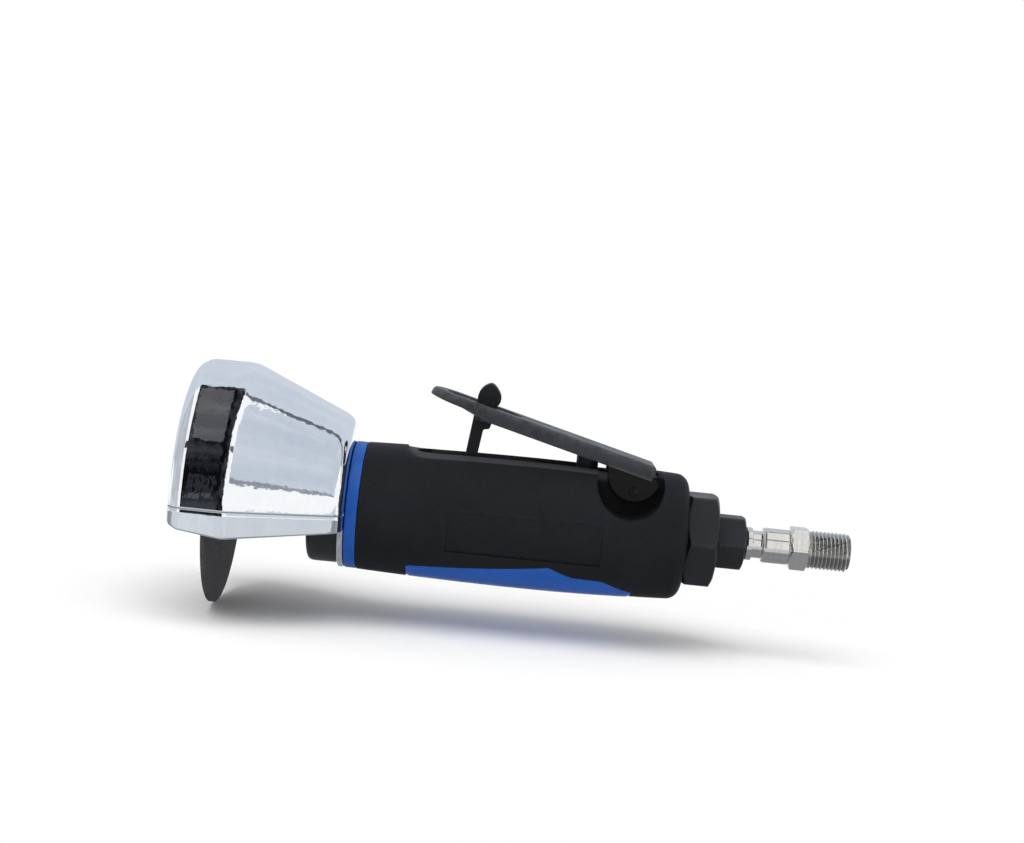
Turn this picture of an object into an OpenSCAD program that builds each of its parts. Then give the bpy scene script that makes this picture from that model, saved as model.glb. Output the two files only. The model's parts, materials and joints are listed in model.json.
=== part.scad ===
// Pneumatic cut off tool: in-line vane motor in a rubber gripped housing, three inch wheel under a
// half guard, throttle lever with a safety lock, screwed air fitting at the rear.
// Millimetres. +X runs along the tool axis to the air inlet, +Z points up to the lever side.
// The origin lies on the axis, at the shoulder of the hose thread.

/* [Air fitting] */
// Outside diameter of the hose thread
thread_d = 13.16; // [10:0.01:18]
// Length of the hose thread
thread_len = 14.2; // [8:0.1:20]
// Pitch of the hose thread
thread_pitch = 1.337; // [1:0.001:2]
// Depth of the thread grooves
thread_depth = 0.6; // [0.3:0.05:0.8]
// Width of the fitting's hexagon across its flats
fitting_af = 14; // [13:0.5:20]
// Length of the fitting's hexagon
fitting_hex_len = 6.5; // [4:0.1:10]
// Diameter of the sleeve in front of the hexagon
sleeve_d = 12; // [10:0.1:16]
// Length of the sleeve
sleeve_len = 9.3; // [5:0.1:14]
// Chamfer of the sleeve
sleeve_edge = 0.8; // [0.2:0.1:1.5]
// Diameter of the neck
neck_d = 9.4; // [8:0.1:12]
// Length of the neck
neck_len = 3.4; // [2:0.1:6]
// Diameter of the fitting's flange
flange_d = 11.3; // [10.5:0.1:15]
// Thickness of the fitting's flange
flange_len = 2; // [1:0.1:4]
// Thickness of the sealing ring under the flange
seal_t = 0.8; // [0.4:0.1:2]
// Diameter of the fitting's screwed tail
tail_d = 9; // [8:0.1:10]
// Length of the fitting's screwed tail
tail_len = 8; // [4:0.1:9]
// Diameter of the air bore
air_bore_d = 6; // [3:0.1:7]

/* [Inlet bushing and rear cap] */
// Width of the inlet bushing's hexagon across its flats
bushing_af = 17.4; // [15:0.1:22]
// Length of the inlet bushing's hexagon
bushing_hex_len = 10; // [9.5:0.1:16]
// Wall of the inlet bushing's spigot
bushing_wall = 2.4; // [1.5:0.1:3.4]
// Depth of the bushing's spigot in the housing
bushing_depth = 8; // [6:0.1:10]
// Width of the rear cap's hexagon across its flats
cap_af = 30; // [28:0.5:40]
// Length of the rear cap's hexagon
cap_hex_len = 10.6; // [8:0.1:16]
// Radius of the rear cap's spigot in the housing
cap_spigot_r = 13.5; // [12.5:0.1:14]
// Length of the rear cap's spigot
cap_spigot_len = 5; // [4:0.1:7]
// Wall of the rear cap's spigot
cap_wall = 1.6; // [1.2:0.1:2]
// Thickness of the rear cap's end wall
cap_end_t = 3; // [2:0.1:5]
// Number of exhaust holes in the rear cap
exhaust_holes = 6; // [3:1:10]
// Radius of an exhaust hole
exhaust_hole_r = 1.1; // [0.6:0.1:1.4]
// Wire radius of the rear cap's sealing ring
cap_ring_wire = 0.6; // [0.4:0.1:0.9]
// Thickness of the strainer in the inlet
screen_t = 1; // [0.5:0.1:3]
// Number of outer holes in the strainer
screen_holes = 6; // [3:1:6]
// Radius of a hole in the strainer
screen_hole_r = 0.5; // [0.2:0.1:0.6]

/* [Motor] */
// Diameter of the rotor
rotor_d = 21.2; // [19:0.1:24]
// Offset of the liner's bore from the rotor axis
eccentricity = 1.4; // [0.8:0.1:2]
// Least wall of the cylinder liner
liner_wall = 2.2; // [1.5:0.1:4]
// Length of the cylinder liner
liner_len = 38; // [30:0.5:60]
// Number of vanes
vane_count = 5; // [3:1:6]
// Thickness of a vane
vane_t = 1.8; // [1:0.1:2]
// Depth of a vane
vane_depth = 6.4; // [4:0.1:6.5]
// Wall of an end plate between its bearing and the rotor
plate_web = 4; // [2.5:0.1:8]
// Outside diameter of the front bearing
front_bearing_d = 22; // [19:0.5:24]
// Bore of the front bearing
front_shaft_d = 8; // [7:0.1:9]
// Width of the front bearing
front_bearing_w = 7; // [5:0.5:9]
// Outside diameter of the rear bearing
rear_bearing_d = 19; // [16:0.5:22]
// Bore of the rear bearing
rear_shaft_d = 6; // [5:0.1:7]
// Width of the rear bearing
rear_bearing_w = 6; // [5:0.5:8]
// Number of balls in a bearing
ball_count = 7; // [5:1:8]
// Thickness of the wave washer behind the rear end plate
washer_t = 0.8; // [0.4:0.1:2]
// Radius of a locating pin
dowel_r = 1; // [0.6:0.1:1.2]
// Length of a locating pin
dowel_len = 5; // [3:0.1:7]
// Number of exhaust ports in the liner
liner_ports = 4; // [2:1:5]
// Width by which the wave washer laps the rear bearing
washer_lap = 1; // [0.5:0.1:1.5]
// Length of the rotor's thread in the arbor
rotor_thread = 14; // [8:0.5:20]

/* [Housing and grip] */
// Wall of the motor housing
housing_wall = 2.77; // [2.5:0.01:4]
// Wall between the motor bore and the valve bore
valve_web = 4.3; // [2:0.1:10]
// Distance from the valve to the lever pin
valve_arm = 16.2; // [15:0.1:24]
// Distance from the lever pin to the rear end of the grip
pin_back = 19.1; // [18:0.1:28]
// Rubber behind the end of the housing
grip_lip = 2; // [1:0.1:3]
// Rubber wall at the front end of the grip
grip_wall_front = 3.3; // [2.6:0.1:6]
// Rubber wall where the grip is thickest
grip_wall_mid = 4.5; // [2.6:0.1:8]
// Rubber wall at the rear end of the grip
grip_wall_rear = 2.7; // [2.6:0.1:6]
// Distance from the front of the grip to its thickest place
grip_mid_x = 59; // [40:1:70]
// Radius of the grip's rear corner
grip_corner = 4.5; // [2:0.1:5]
// Width of the slot in the top of the grip
grip_slot_w = 14; // [13:0.1:17]
// Distance from the front of the grip to the slot
grip_slot_x = 17; // [8:0.5:20]
// Distance from the front of the grip to the side panel
panel_x = 30; // [24:0.5:40]
// Length of the side panel
panel_len = 52; // [30:0.5:54]
// Lower edge of the side panel
panel_low = 10; // [4:0.5:10]
// Upper edge of the side panel
panel_high = 4; // [2:0.5:5]
// Depth of the side panel
panel_depth = 0.5; // [0.2:0.1:0.8]

/* [Blue inlay] */
// Distance from the front of the grip to the inlay
inlay_x = 17; // [10:0.5:24]
// Length of the inlay
inlay_len = 77; // [50:0.5:80]
// Distance from the inlay's front end to its widest place
inlay_mid = 48; // [30:0.5:49]
// Half width of the inlay at its front end
inlay_front_w = 14.5; // [8:0.5:15]
// Half width of the inlay where it is widest
inlay_mid_w = 19.3; // [17:0.1:19.4]
// Length of the slope behind the widest place
inlay_slope = 8; // [4:0.5:9]
// Half width of the inlay behind the slope
inlay_slope_w = 16.9; // [16.5:0.1:17]
// Distance from the inlay's front end to its rear shoulder
inlay_shoulder = 66.5; // [60:0.5:70]
// Half width of the inlay at its rear shoulder
inlay_shoulder_w = 16.1; // [14:0.1:16.5]
// Half width of the inlay at its rear end
inlay_rear_w = 10.8; // [6:0.1:13]
// Thickness of the inlay
inlay_t = 1.6; // [1:0.1:2]
// Depth below the axis where the inlay's sides end
inlay_top = 5; // [3:0.1:7]

/* [Nose] */
// Length of the nose piece inside the housing
nose_plug_len = 5; // [3:0.1:10]
// Step of the nose piece's seat outside the motor bore
nose_step = 1.2; // [0.6:0.1:1.5]
// Radius of the nose spigot that carries the guard
nose_r = 15.5; // [14:0.1:17]
// Bore of the nose
nose_bore_r = 9.5; // [9:0.1:10.5]
// Thickness of the felt ring in the nose
felt_t = 3; // [2:0.1:5]
// Step of the felt ring's seat outside the nose bore
felt_step = 1; // [0.6:0.1:2]
// Length of the blue collar
collar_len = 4; // [3:0.1:8]
// Height of the blue collar above the housing
collar_wall = 3.2; // [2.8:0.1:5]
// Chamfer of the blue collar
collar_edge = 0.6; // [0.2:0.1:1.5]
// Length of the guard nut
nut_len = 10.8; // [8:0.1:16]
// Wall of the guard nut
nut_wall = 4.9; // [3:0.1:6]
// Radius of the guard nut's front corner
nut_corner = 2; // [0.5:0.1:2.5]

/* [Wheel and arbor] */
// Diameter of the cutting wheel
wheel_d = 76; // [60:1:100]
// Thickness of the cutting wheel
wheel_t = 1.6; // [1:0.1:3]
// Bore of the cutting wheel
wheel_bore_d = 9.6; // [9:0.1:11]
// Diameter of the arbor
arbor_d = 15; // [13:0.1:17]
// Distance from the guard nut to the rear face of the wheel
arbor_reach = 29.9; // [20:0.1:40]
// Diameter of the clamping flanges
clamp_d = 22; // [18:0.5:30]
// Thickness of a clamping flange
clamp_t = 3; // [2:0.1:5]
// Chamfer of the outer clamping flange
clamp_edge = 1; // [0.3:0.1:1.5]
// Gap between the arbor's pilot and the outer flange
arbor_pilot = 0.3; // [0.1:0.1:0.6]
// Length of the arbor's foot against the bearing
arbor_foot = 1.5; // [1:0.1:3]
// Diameter of the wheel screw
screw_d = 5; // [4:0.1:6]
// Length of the wheel screw's shank
screw_len = 14; // [10:0.5:20]
// Diameter of the wheel screw's head
screw_head_d = 10; // [8:0.1:14]
// Height of the wheel screw's head
screw_head_h = 3; // [2.5:0.1:4]
// Depth of the socket in the wheel screw's head
screw_socket_h = 1.8; // [1:0.1:2.2]
// Corner radius of the socket in the wheel screw's head
screw_socket_r = 2.1; // [1.5:0.1:2.8]

/* [Guard] */
// Wall of the guard
guard_wall = 2; // [1.4:0.1:3]
// Room between the wheel's edge and the guard
guard_room = 5; // [4:0.1:8]
// Length of the guard's drum
drum_len = 18.6; // [14:0.1:24]
// Distance from the wheel's front face to the front of the guard
guard_front = 10.6; // [10:0.1:14]
// Radius of the guard's back where the cone meets it
guard_back_r = 29.3; // [27:0.1:34]
// Radius of the drum's front corner
guard_corner = 4; // [2.5:0.1:4]
// Radius of the corner between cone and back plate
guard_back_corner = 4; // [3:0.1:5]
// Width of the lip at the front of the drum
guard_lip = 4.4; // [4.1:0.1:6]
// Height of the straight skirts below the axis
skirt_h = 8; // [3:0.1:12]
// Width of the ring that goes round the nose
guard_ring_w = 6.4; // [4:0.1:8]

/* [Lever and lock] */
// Slope of the lever when it is released
lever_angle = 14.2; // [12:0.1:18]
// Depth of the lever pin below the housing's top
pin_depth = 3.5; // [3.3:0.1:4.5]
// Radius of the lever pin
pin_r = 1.6; // [1:0.1:1.6]
// Half width of the housing's boss between the ears
boss_half = 8; // [7:0.1:8]
// Top of the boss above the housing
boss_rise = 1.7; // [0.8:0.1:1.8]
// Thickness of the lever's ears and flanges
ear_t = 2; // [1.4:0.1:2.6]
// Radius of the lever's round ears
ear_r = 9; // [8:0.1:9.2]
// Distance of the ear's centre ahead of the pin
ear_ahead = 1.5; // [1:0.1:2]
// Step of the ear inside the flange above it
ear_step = 0.5; // [0.2:0.1:0.8]
// Radius of the recess round an ear
recess_r = 11.4; // [11:0.1:12]
// Distance of the recess ahead of the pin
recess_ahead = 1.3; // [1:0.1:1.8]
// Height of the recess above the pin
recess_up = 2.9; // [2.6:0.1:3.4]
// Height of the lever's top face above the pin
lever_rise = 10.2; // [9.8:0.1:12]
// Thickness of the lever's plate
lever_t = 2.2; // [1.6:0.1:2.4]
// Distance from the pin to the lever's rear end
lever_back = 5.1; // [4:0.1:5.2]
// Depth of the lever's side flanges
flange_depth = 5; // [3:0.1:5.2]
// Width of the slot in the lever
lever_slot_w = 10; // [9:0.1:11]
// Distance from the slot's rear end to the lock pin
slot_back = 13.5; // [12:0.1:16]
// Distance from the lever pin to the lock pin
lock_arm = 57; // [54:0.1:58]
// Distance from the lock pin to the lever's tip
loop_reach = 18.8; // [15:0.1:30]
// Depth of the lock pin below the lever's plate
lock_drop = 1.3; // [1.2:0.1:2]
// Radius of the lock pin
lock_pin_r = 1; // [0.6:0.1:1.1]
// Thickness of the lock
lock_t = 7; // [5:0.1:7.4]
// Radius of the lock's hub
lock_hub_r = 2.6; // [2.2:0.1:3]
// Radius of the lock's tip
lock_tip_r = 2; // [1.4:0.1:2.2]
// Lean of the lock's leg against the lever
lock_lean = 5; // [3:0.1:7]
// Gap between the lock's tip and the housing
lock_gap = 1.1; // [0.9:0.1:1.6]
// Height of the lock's thumb tab above its pin
tab_h = 11; // [9:0.1:11.4]
// Width of the lock's thumb tab
tab_w = 6.7; // [5:0.1:7]
// Height of the thumb tab's foot above the lock pin
tab_foot = 1; // [0.5:0.1:1.5]
// Size of the stop nub behind the lock
lock_nub = 1.6; // [0.8:0.1:2]
// Wire diameter of the lock's spring
lock_spring_wire = 0.4; // [0.3:0.05:0.45]
// Thickness of the lugs that carry the lock pin
lug_t = 1.8; // [1.2:0.1:2.4]
// Half length of the lugs that carry the lock pin
lug_half = 2.2; // [1.8:0.1:3]

/* [Throttle valve] */
// Radius of the valve bore
valve_r = 6; // [5.6:0.1:6.5]
// Radius of the plunger
plunger_r = 3.75; // [3:0.05:4]
// Radius of the plunger's domed top
dome_r = 5; // [4.2:0.1:8]
// Gap between plunger and lever
valve_gap = 0.3; // [0.2:0.05:0.5]
// Height of the valve bush above the housing
bush_rise = 0.8; // [0.4:0.1:1.5]
// Length of the valve bush
bush_len = 11; // [9:0.1:12]
// Length of the plunger's guide in the bush
guide_len = 7; // [6:0.1:8]
// Travel of the valve
valve_travel = 2.7; // [2:0.1:3.2]
// Radius of the valve stem
stem_r = 2; // [1.5:0.1:2.2]
// Room for air round the valve stem
stem_room = 0.5; // [0.3:0.1:0.8]
// Radius of the valve's head
head_r = 4.4; // [4:0.1:4.8]
// Thickness of the valve's head
head_t = 2.6; // [2:0.1:4]
// Wire radius of the valve ring
ring_wire = 0.8; // [0.5:0.05:1]
// Room for the valve spring
spring_room = 13; // [11:0.1:14]
// Number of turns of the valve spring
spring_turns = 6; // [4:1:7]
// Wire diameter of the valve spring
spring_wire = 0.9; // [0.6:0.1:1]
// Radius of the air passages
passage_r = 2.2; // [1.5:0.1:2.4]

/* [Fits] */
// Clearance of pieces that are pushed together
fit_gap = 0.03; // [0.01:0.01:0.06]
// Clearance of pieces that turn or slide
run_gap = 0.06; // [0.03:0.01:0.1]
// Side clearance of pieces that move freely
side_gap = 0.2; // [0.1:0.05:0.3]

/* [Hidden] */
$fn = 72;
eps = 0.5;

// Stations of the air fitting and the rear cap, from the origin forward
x_hex = -fitting_hex_len;
x_sleeve = x_hex - sleeve_len;
x_neck = x_sleeve - neck_len;
x_flange = x_neck - flange_len;
x_seal = x_flange - seal_t;
x_bushing = x_seal - bushing_hex_len;
x_cap = x_bushing - cap_hex_len;
x_pin = x_cap - pin_back;
x_valve = x_pin - valve_arm;

// Stations of the motor and the nose, from the valve forward
x_floor = x_valve - valve_r - valve_web;
x_washer = x_floor - washer_t;
rear_plate_t = rear_bearing_w + plate_web;
x_rear_plate = x_washer - rear_plate_t;
x_liner = x_rear_plate - liner_len;
front_plate_t = front_bearing_w + plate_web;
x_front_plate = x_liner - front_plate_t;
x_grip = x_front_plate - nose_plug_len;
x_collar = x_grip - collar_len;
x_plate = x_collar - 2 * run_gap - guard_wall;
x_nut = x_plate - nut_len;
x_wheel = x_nut - arbor_reach - wheel_t;
x_guard = x_wheel - guard_front;
x_housing_end = x_cap - grip_lip;
grip_len = x_cap - x_grip;
x_spigot = x_housing_end - cap_spigot_len;
x_bushing_tip = x_spigot - grip_lip - bushing_depth;
x_cap_ring = (x_spigot + x_housing_end) / 2;
thread_turns = floor((thread_len - thread_pitch) / thread_pitch);

// Radii of the motor, the housing and the grip, from the rotor outward
rotor_r = rotor_d / 2;
liner_bore_r = rotor_r + eccentricity + 2 * run_gap;
liner_r = liner_bore_r + eccentricity + liner_wall;
motor_bore_r = liner_r + fit_gap;
housing_r = motor_bore_r + housing_wall;
grip_bore_r = housing_r + fit_gap;
plug_r = motor_bore_r + nose_step;
collar_r = housing_r + collar_wall;
nut_r = nose_r + nut_wall;
dowel_place = (rotor_r + 2 * run_gap + liner_r) / 2;
bushing_r = air_bore_d / 2 + bushing_wall;
exhaust_z = -(motor_bore_r - passage_r / 2);

// Ball bearings: share of the ball in a ring's half wall, ball circle and ball
ring_share = 0.6;
ball_share = 0.28;
function ball_circle(d, bore) = (d + bore) / 4;
function ball_r(d, bore) = (d - bore) / 2 * ball_share;
function inner_ring_r(d, bore) = ball_circle(d, bore) - ball_r(d, bore) * ring_share;
function outer_ring_r(d, bore) = ball_circle(d, bore) + ball_r(d, bore) * ring_share;

// Wheel and guard
wheel_r = wheel_d / 2;
guard_r = wheel_r + guard_room + guard_wall;
x_guard_back = x_plate + guard_wall;
cone_len = x_guard_back - x_guard - drum_len;
cone_angle = atan((guard_r - guard_back_r) / cone_len);
pilot_r = wheel_bore_d / 2 - fit_gap;
foot_r = inner_ring_r(front_bearing_d, front_shaft_d);

// Lever, lock and valve
pin_z = housing_r - pin_depth;
lever_half = boss_half + side_gap + ear_t;
lever_reach = lock_arm + loop_reach;
lever_under = lever_rise - lever_t;
lock_n = lever_under - lock_drop;
lock_pin_z = pin_z + lock_arm * sin(lever_angle) + lock_n * cos(lever_angle);
lock_leg = (lock_pin_z - housing_r - lock_gap - lock_tip_r) / cos(lever_angle - lock_lean);
lug_in = lever_slot_w / 2 + 2 * side_gap;
flange_reach = lock_arm - slot_back + lever_slot_w / 2;
lock_tip = [lock_leg * sin(lock_lean), -lock_leg * cos(lock_lean)];
leaf_r = ((tab_h - tab_foot) * (tab_h - tab_foot) + tab_w * tab_w) / (4 * tab_w);
leaf_z = (tab_h + tab_foot) / 2;
leaf_low = acos((leaf_r - tab_w / 2 + lock_hub_r) / leaf_r);
leaf_high = acos((leaf_r - tab_w / 2) / leaf_r);
dome_z = pin_z + (lever_under - valve_gap - dome_r + valve_arm * sin(lever_angle)) / cos(lever_angle);
bush_top = housing_r + bush_rise;
bush_low = bush_top - bush_len;
guide_low = bush_top - guide_len;
head_top = bush_low - run_gap - ring_wire;
head_low = head_top - head_t;
valve_floor = head_low - spring_room;
oring_r = (head_r + stem_r) / 2 + side_gap;

// Shapes that repeat

// Solid of revolution about the tool axis, from points of radius and station
module turned(points) rotate([0, 90, 0]) rotate_extrude() polygon(points);

// Round bar along the tool axis
module bar(x0, x1, r) translate([x0, 0, 0]) rotate([0, 90, 0]) cylinder(h = x1 - x0, r = r);

// Tube along the tool axis
module tube(x0, x1, r_out, r_in) difference() {
  bar(x0, x1, r_out);
  bar(x0 - eps, x1 + eps, r_in);
}

// Hexagonal bar along the tool axis, with corners to both sides and chamfered ends
module hex_bar(x0, x1, af) {
  corner = af / sqrt(3);
  cut = corner - af / 2;
  intersection() {
    translate([x0, 0, 0]) rotate([0, 90, 0]) rotate([0, 0, 30]) cylinder(h = x1 - x0, r = corner, $fn = 6);
    turned([[0, x0], [af / 2, x0], [corner, x0 + cut / 2], [corner, x1 - cut / 2], [af / 2, x1], [0, x1]]);
  }
}

// Ring of round section about the tool axis
module o_ring(x, r, wire) translate([x, 0, 0]) rotate([0, 90, 0]) rotate_extrude()
  translate([r, 0]) circle(wire, $fn = 24);

// Points of an arc
function arc(cx, cy, r, a0, a1, steps) =
  [for (i = [0:steps]) let (a = a0 + (a1 - a0) * i / steps) [cx + r * cos(a), cy + r * sin(a)]];

// Cylinder across the tool, with its middle on the plane of symmetry
module across(x, z, r, width) translate([x, 0, z]) rotate([90, 0, 0]) cylinder(h = width, r = r, center = true);

// Places children in the lever's own frame: its pin is the origin and its plate is level
module on_lever() translate([x_pin, 0, pin_z]) rotate([0, lever_angle, 0]) children();

// Slot with round ends, long in X
module slot_shape(x0, x1, w) {
  translate([x0 + w / 2, 0]) circle(w / 2);
  translate([x1 - w / 2, 0]) circle(w / 2);
  translate([x0 + w / 2, -w / 2]) square([x1 - x0 - w, w]);
}

// Points of a helix about Z
function helix(r, length, turns, per_turn = 8) =
  [for (i = [0:turns * per_turn]) let (a = 360 * i / per_turn)
    [r * cos(a), r * sin(a), length * i / (turns * per_turn)]];

// Least distance between two turns of a helix, less its wire
function self_gap(path, wire, per_turn = 8) =
  min([for (i = [0:len(path) - 1]) for (j = [i + per_turn / 2:len(path) - 1]) norm(path[i] - path[j])]) - wire;

// One unbroken tube of six sides along a path
module wire_tube(path, wire) {
  sides = 6;
  last = len(path) - 1;
  rings = [for (i = [0:last]) let (
      t = path[min(i + 1, last)] - path[max(i - 1, 0)],
      d = t / norm(t),
      u0 = cross(d, [0, 0, 1]),
      u = u0 / norm(u0),
      v = cross(u, d))
    for (k = [0:sides - 1]) path[i] + wire / 2 * (u * cos(360 * k / sides) + v * sin(360 * k / sides))];
  walls = [for (i = [0:last - 1]) for (k = [0:sides - 1]) let (
      a = i * sides + k,
      b = i * sides + (k + 1) % sides)
    for (f = [[a, b, b + sides], [a, b + sides, a + sides]]) f];
  starts = [for (k = [1:sides - 2]) [0, k + 1, k]];
  ends = [for (k = [1:sides - 2]) [last * sides, last * sides + k, last * sides + k + 1]];
  polyhedron(points = rings, faces = concat(walls, starts, ends));
}

// Housing and grip

// Outer radius of the grip at a distance from its front end
function grip_r(d) = housing_r + grip_wall_mid
  - (d < grip_mid_x
    ? (grip_wall_mid - grip_wall_front) * pow((grip_mid_x - d) / grip_mid_x, 2)
    : (grip_wall_mid - grip_wall_rear) * pow((d - grip_mid_x) / (grip_len - grip_mid_x), 2));

// Barrel of the grip, drawn in by a depth
module barrel(depth) {
  stations = 14;
  corner_steps = 6;
  straight = grip_len - grip_corner;
  rear_r = grip_r(straight) - grip_corner;
  turned(concat(
    [[0, x_grip]],
    [for (i = [0:stations]) [grip_r(straight * i / stations) - depth, x_grip + straight * i / stations]],
    arc(rear_r, x_cap - grip_corner, grip_corner - depth, 90 / corner_steps, 90, corner_steps - 1),
    [[0, x_cap - depth]]));
}

// Room for the lever's ears and rear end
module lever_room() difference() {
  across(x_pin - recess_ahead, pin_z + recess_up, recess_r, 4 * housing_r);
  translate([x_pin - 2 * recess_r, -boss_half, 0]) cube([4 * recess_r, 2 * boss_half, housing_r + boss_rise]);
}

module motor_housing() color("#3a3b3f") difference() {
  bar(x_grip, x_housing_end, housing_r);
  bar(x_grip - eps, x_front_plate, plug_r);
  bar(x_front_plate - eps, x_floor, motor_bore_r);
  lever_room();
  across(x_pin, pin_z, pin_r + fit_gap, 4 * housing_r);
  translate([x_valve, 0, valve_floor]) cylinder(h = 2 * housing_r, r = valve_r + fit_gap);
  bar(x_housing_end - cap_spigot_len - grip_lip, x_cap, cap_spigot_r + fit_gap);
  bar(x_bushing_tip, x_cap, bushing_r + fit_gap);
  bar(x_valve, x_cap, air_bore_d / 2);
  translate([0, 0, bush_low + passage_r + run_gap]) bar(x_floor - eps, x_valve, passage_r);
  translate([0, 0, exhaust_z]) bar(x_liner, x_housing_end - cap_spigot_len, passage_r);
}

// Outline of the inlay seen from below as station and half width, and its prism drawn in by a gap
inlay_outline = [[0, inlay_front_w], [inlay_mid, inlay_mid_w], [inlay_mid + inlay_slope, inlay_slope_w],
  [inlay_shoulder, inlay_shoulder_w], [inlay_len, inlay_rear_w]];
module inlay_prism(gap) {
  near = [for (p = inlay_outline) [x_grip + inlay_x + gap + p[0] * (1 - 2 * gap / inlay_len), p[1] - gap]];
  far = [for (i = [len(near) - 1:-1:0]) [near[i][0], -near[i][1]]];
  translate([0, 0, -2 * housing_r]) linear_extrude(2 * housing_r - inlay_top) polygon(concat(near, far));
}

module rubber_grip() color("#222327") difference() {
  barrel(0);
  bar(x_grip - eps, x_housing_end, grip_bore_r);
  bar(x_housing_end - eps, x_cap + eps, cap_spigot_r + fit_gap);
  translate([0, 0, housing_r / 2]) linear_extrude(housing_r)
    slot_shape(x_grip + grip_slot_x, x_valve + grip_slot_w / 2, grip_slot_w);
  lever_room();
  difference() {
    inlay_prism(0);
    barrel(inlay_t);
  }
  difference() {
    translate([x_grip + panel_x, -2 * housing_r, -panel_low])
      cube([panel_len, 4 * housing_r, panel_low + panel_high]);
    barrel(panel_depth);
  }
}

module grip_inlay() color("#285ab4") difference() {
  intersection() {
    barrel(0);
    inlay_prism(side_gap / 2);
  }
  barrel(inlay_t - fit_gap);
}

module front_collar() color("#285ab4") difference() {
  turned([[0, x_collar], [collar_r - collar_edge, x_collar], [collar_r, x_collar + collar_edge],
    [collar_r, x_grip], [0, x_grip]]);
  bar(x_collar - eps, x_grip + eps, nose_r + fit_gap);
}

// Nose and guard

module nose_piece() color("#3a3b3f") difference() {
  union() {
    bar(x_grip, x_front_plate, plug_r - fit_gap);
    bar(x_nut, x_grip + eps, nose_r);
  }
  bar(x_nut - eps, x_front_plate + eps, nose_bore_r);
  bar(x_nut - eps, x_nut + felt_t, nose_bore_r + felt_step + fit_gap);
}

module shaft_seal() color("#8d8577") tube(x_nut, x_nut + felt_t, nose_bore_r + felt_step, arbor_d / 2 + run_gap);

module guard_nut() color("#26282c") difference() {
  turned(concat(
    [[0, x_nut]],
    arc(nut_r - nut_corner, x_nut + nut_corner, nut_corner, -90, 0, 6),
    [[nut_r, x_plate - run_gap], [0, x_plate - run_gap]]));
  bar(x_nut - eps, x_plate + eps, nose_r + fit_gap);
}

// Section of the guard as radius and station, outer side first
function guard_section() = concat(
  [[guard_r - guard_lip, x_guard]],
  arc(guard_r - guard_corner, x_guard + guard_corner, guard_corner, -90, 0, 6),
  [[guard_r, x_guard + drum_len]],
  arc(guard_back_r - guard_back_corner * tan(45 - cone_angle / 2), x_guard_back - guard_back_corner,
    guard_back_corner, cone_angle, 90, 6),
  [[nose_r + run_gap, x_guard_back],
    [nose_r + run_gap, x_guard_back - guard_wall],
    [guard_back_r - guard_back_corner, x_guard_back - guard_wall],
    [guard_r - guard_wall, x_guard + drum_len - guard_wall * tan(cone_angle / 2)]],
  arc(guard_r - guard_corner, x_guard + guard_corner, guard_corner - guard_wall, 0, -90, 4),
  [[guard_r - guard_lip, x_guard + guard_wall]]);

module wheel_guard() color("#c8d0dc") difference() {
  union() {
    rotate([0, 90, 0]) rotate([0, 0, 90]) rotate_extrude(angle = 180) polygon(guard_section());
    for (side = [0, 1]) mirror([0, side, 0]) translate([0, 0, -skirt_h]) linear_extrude(skirt_h)
      polygon([for (p = guard_section()) [p[1], p[0]]]);
    bar(x_guard_back - guard_wall, x_guard_back, nose_r + guard_ring_w);
  }
  bar(x_plate - eps, x_guard_back + eps, nose_r + run_gap);
}

// Motor

module cylinder_liner() color("#9fa3a8") difference() {
  bar(x_liner, x_rear_plate, liner_r);
  translate([0, 0, -eccentricity]) bar(x_liner - eps, x_rear_plate + eps, liner_bore_r);
  dowels(fit_gap);
  for (i = [1:liner_ports])
    translate([x_liner + liner_len * i / (liner_ports + 1), 0, -liner_r]) cylinder(h = liner_r, r = passage_r);
}

// Locating pins half in the liner and half in an end plate
module dowels(gap) for (x = [x_liner, x_rear_plate]) translate([0, 0, dowel_place])
  bar(x - dowel_len / 2 - gap, x + dowel_len / 2 + gap, dowel_r + gap);
module locating_pins() color("#b9bcc0") dowels(0);

module front_end_plate() color("#8f9398") difference() {
  bar(x_front_plate, x_liner, liner_r);
  bar(x_front_plate - eps, x_front_plate + front_bearing_w, front_bearing_d / 2 + fit_gap);
  bar(x_front_plate - eps, x_liner + eps, front_shaft_d / 2 + side_gap);
  dowels(fit_gap);
}

module rear_end_plate() color("#8f9398") difference() {
  bar(x_rear_plate, x_washer, liner_r);
  bar(x_washer - rear_bearing_w, x_washer + eps, rear_bearing_d / 2 + fit_gap);
  bar(x_rear_plate - eps, x_washer + eps, rear_shaft_d / 2 + side_gap);
  dowels(fit_gap);
}

module wave_washer() color("#b9bcc0") tube(x_washer, x_floor, liner_r, rear_bearing_d / 2 - washer_lap);

// Ball bearing: its ball circle, its balls and its two rings
module bearing_track(x, w, d, bore) o_ring(x + w / 2, ball_circle(d, bore), ball_r(d, bore) + run_gap);
module bearing_outer(x, w, d, bore) difference() {
  tube(x, x + w, d / 2, outer_ring_r(d, bore));
  bearing_track(x, w, d, bore);
}
module bearing_inner(x, w, d, bore) difference() {
  tube(x, x + w, inner_ring_r(d, bore), bore / 2 + fit_gap);
  bearing_track(x, w, d, bore);
}
module bearing_balls(x, w, d, bore) for (i = [0:ball_count - 1]) rotate([360 * i / ball_count, 0, 0])
  translate([x + w / 2, 0, ball_circle(d, bore)]) sphere(ball_r(d, bore));

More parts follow.
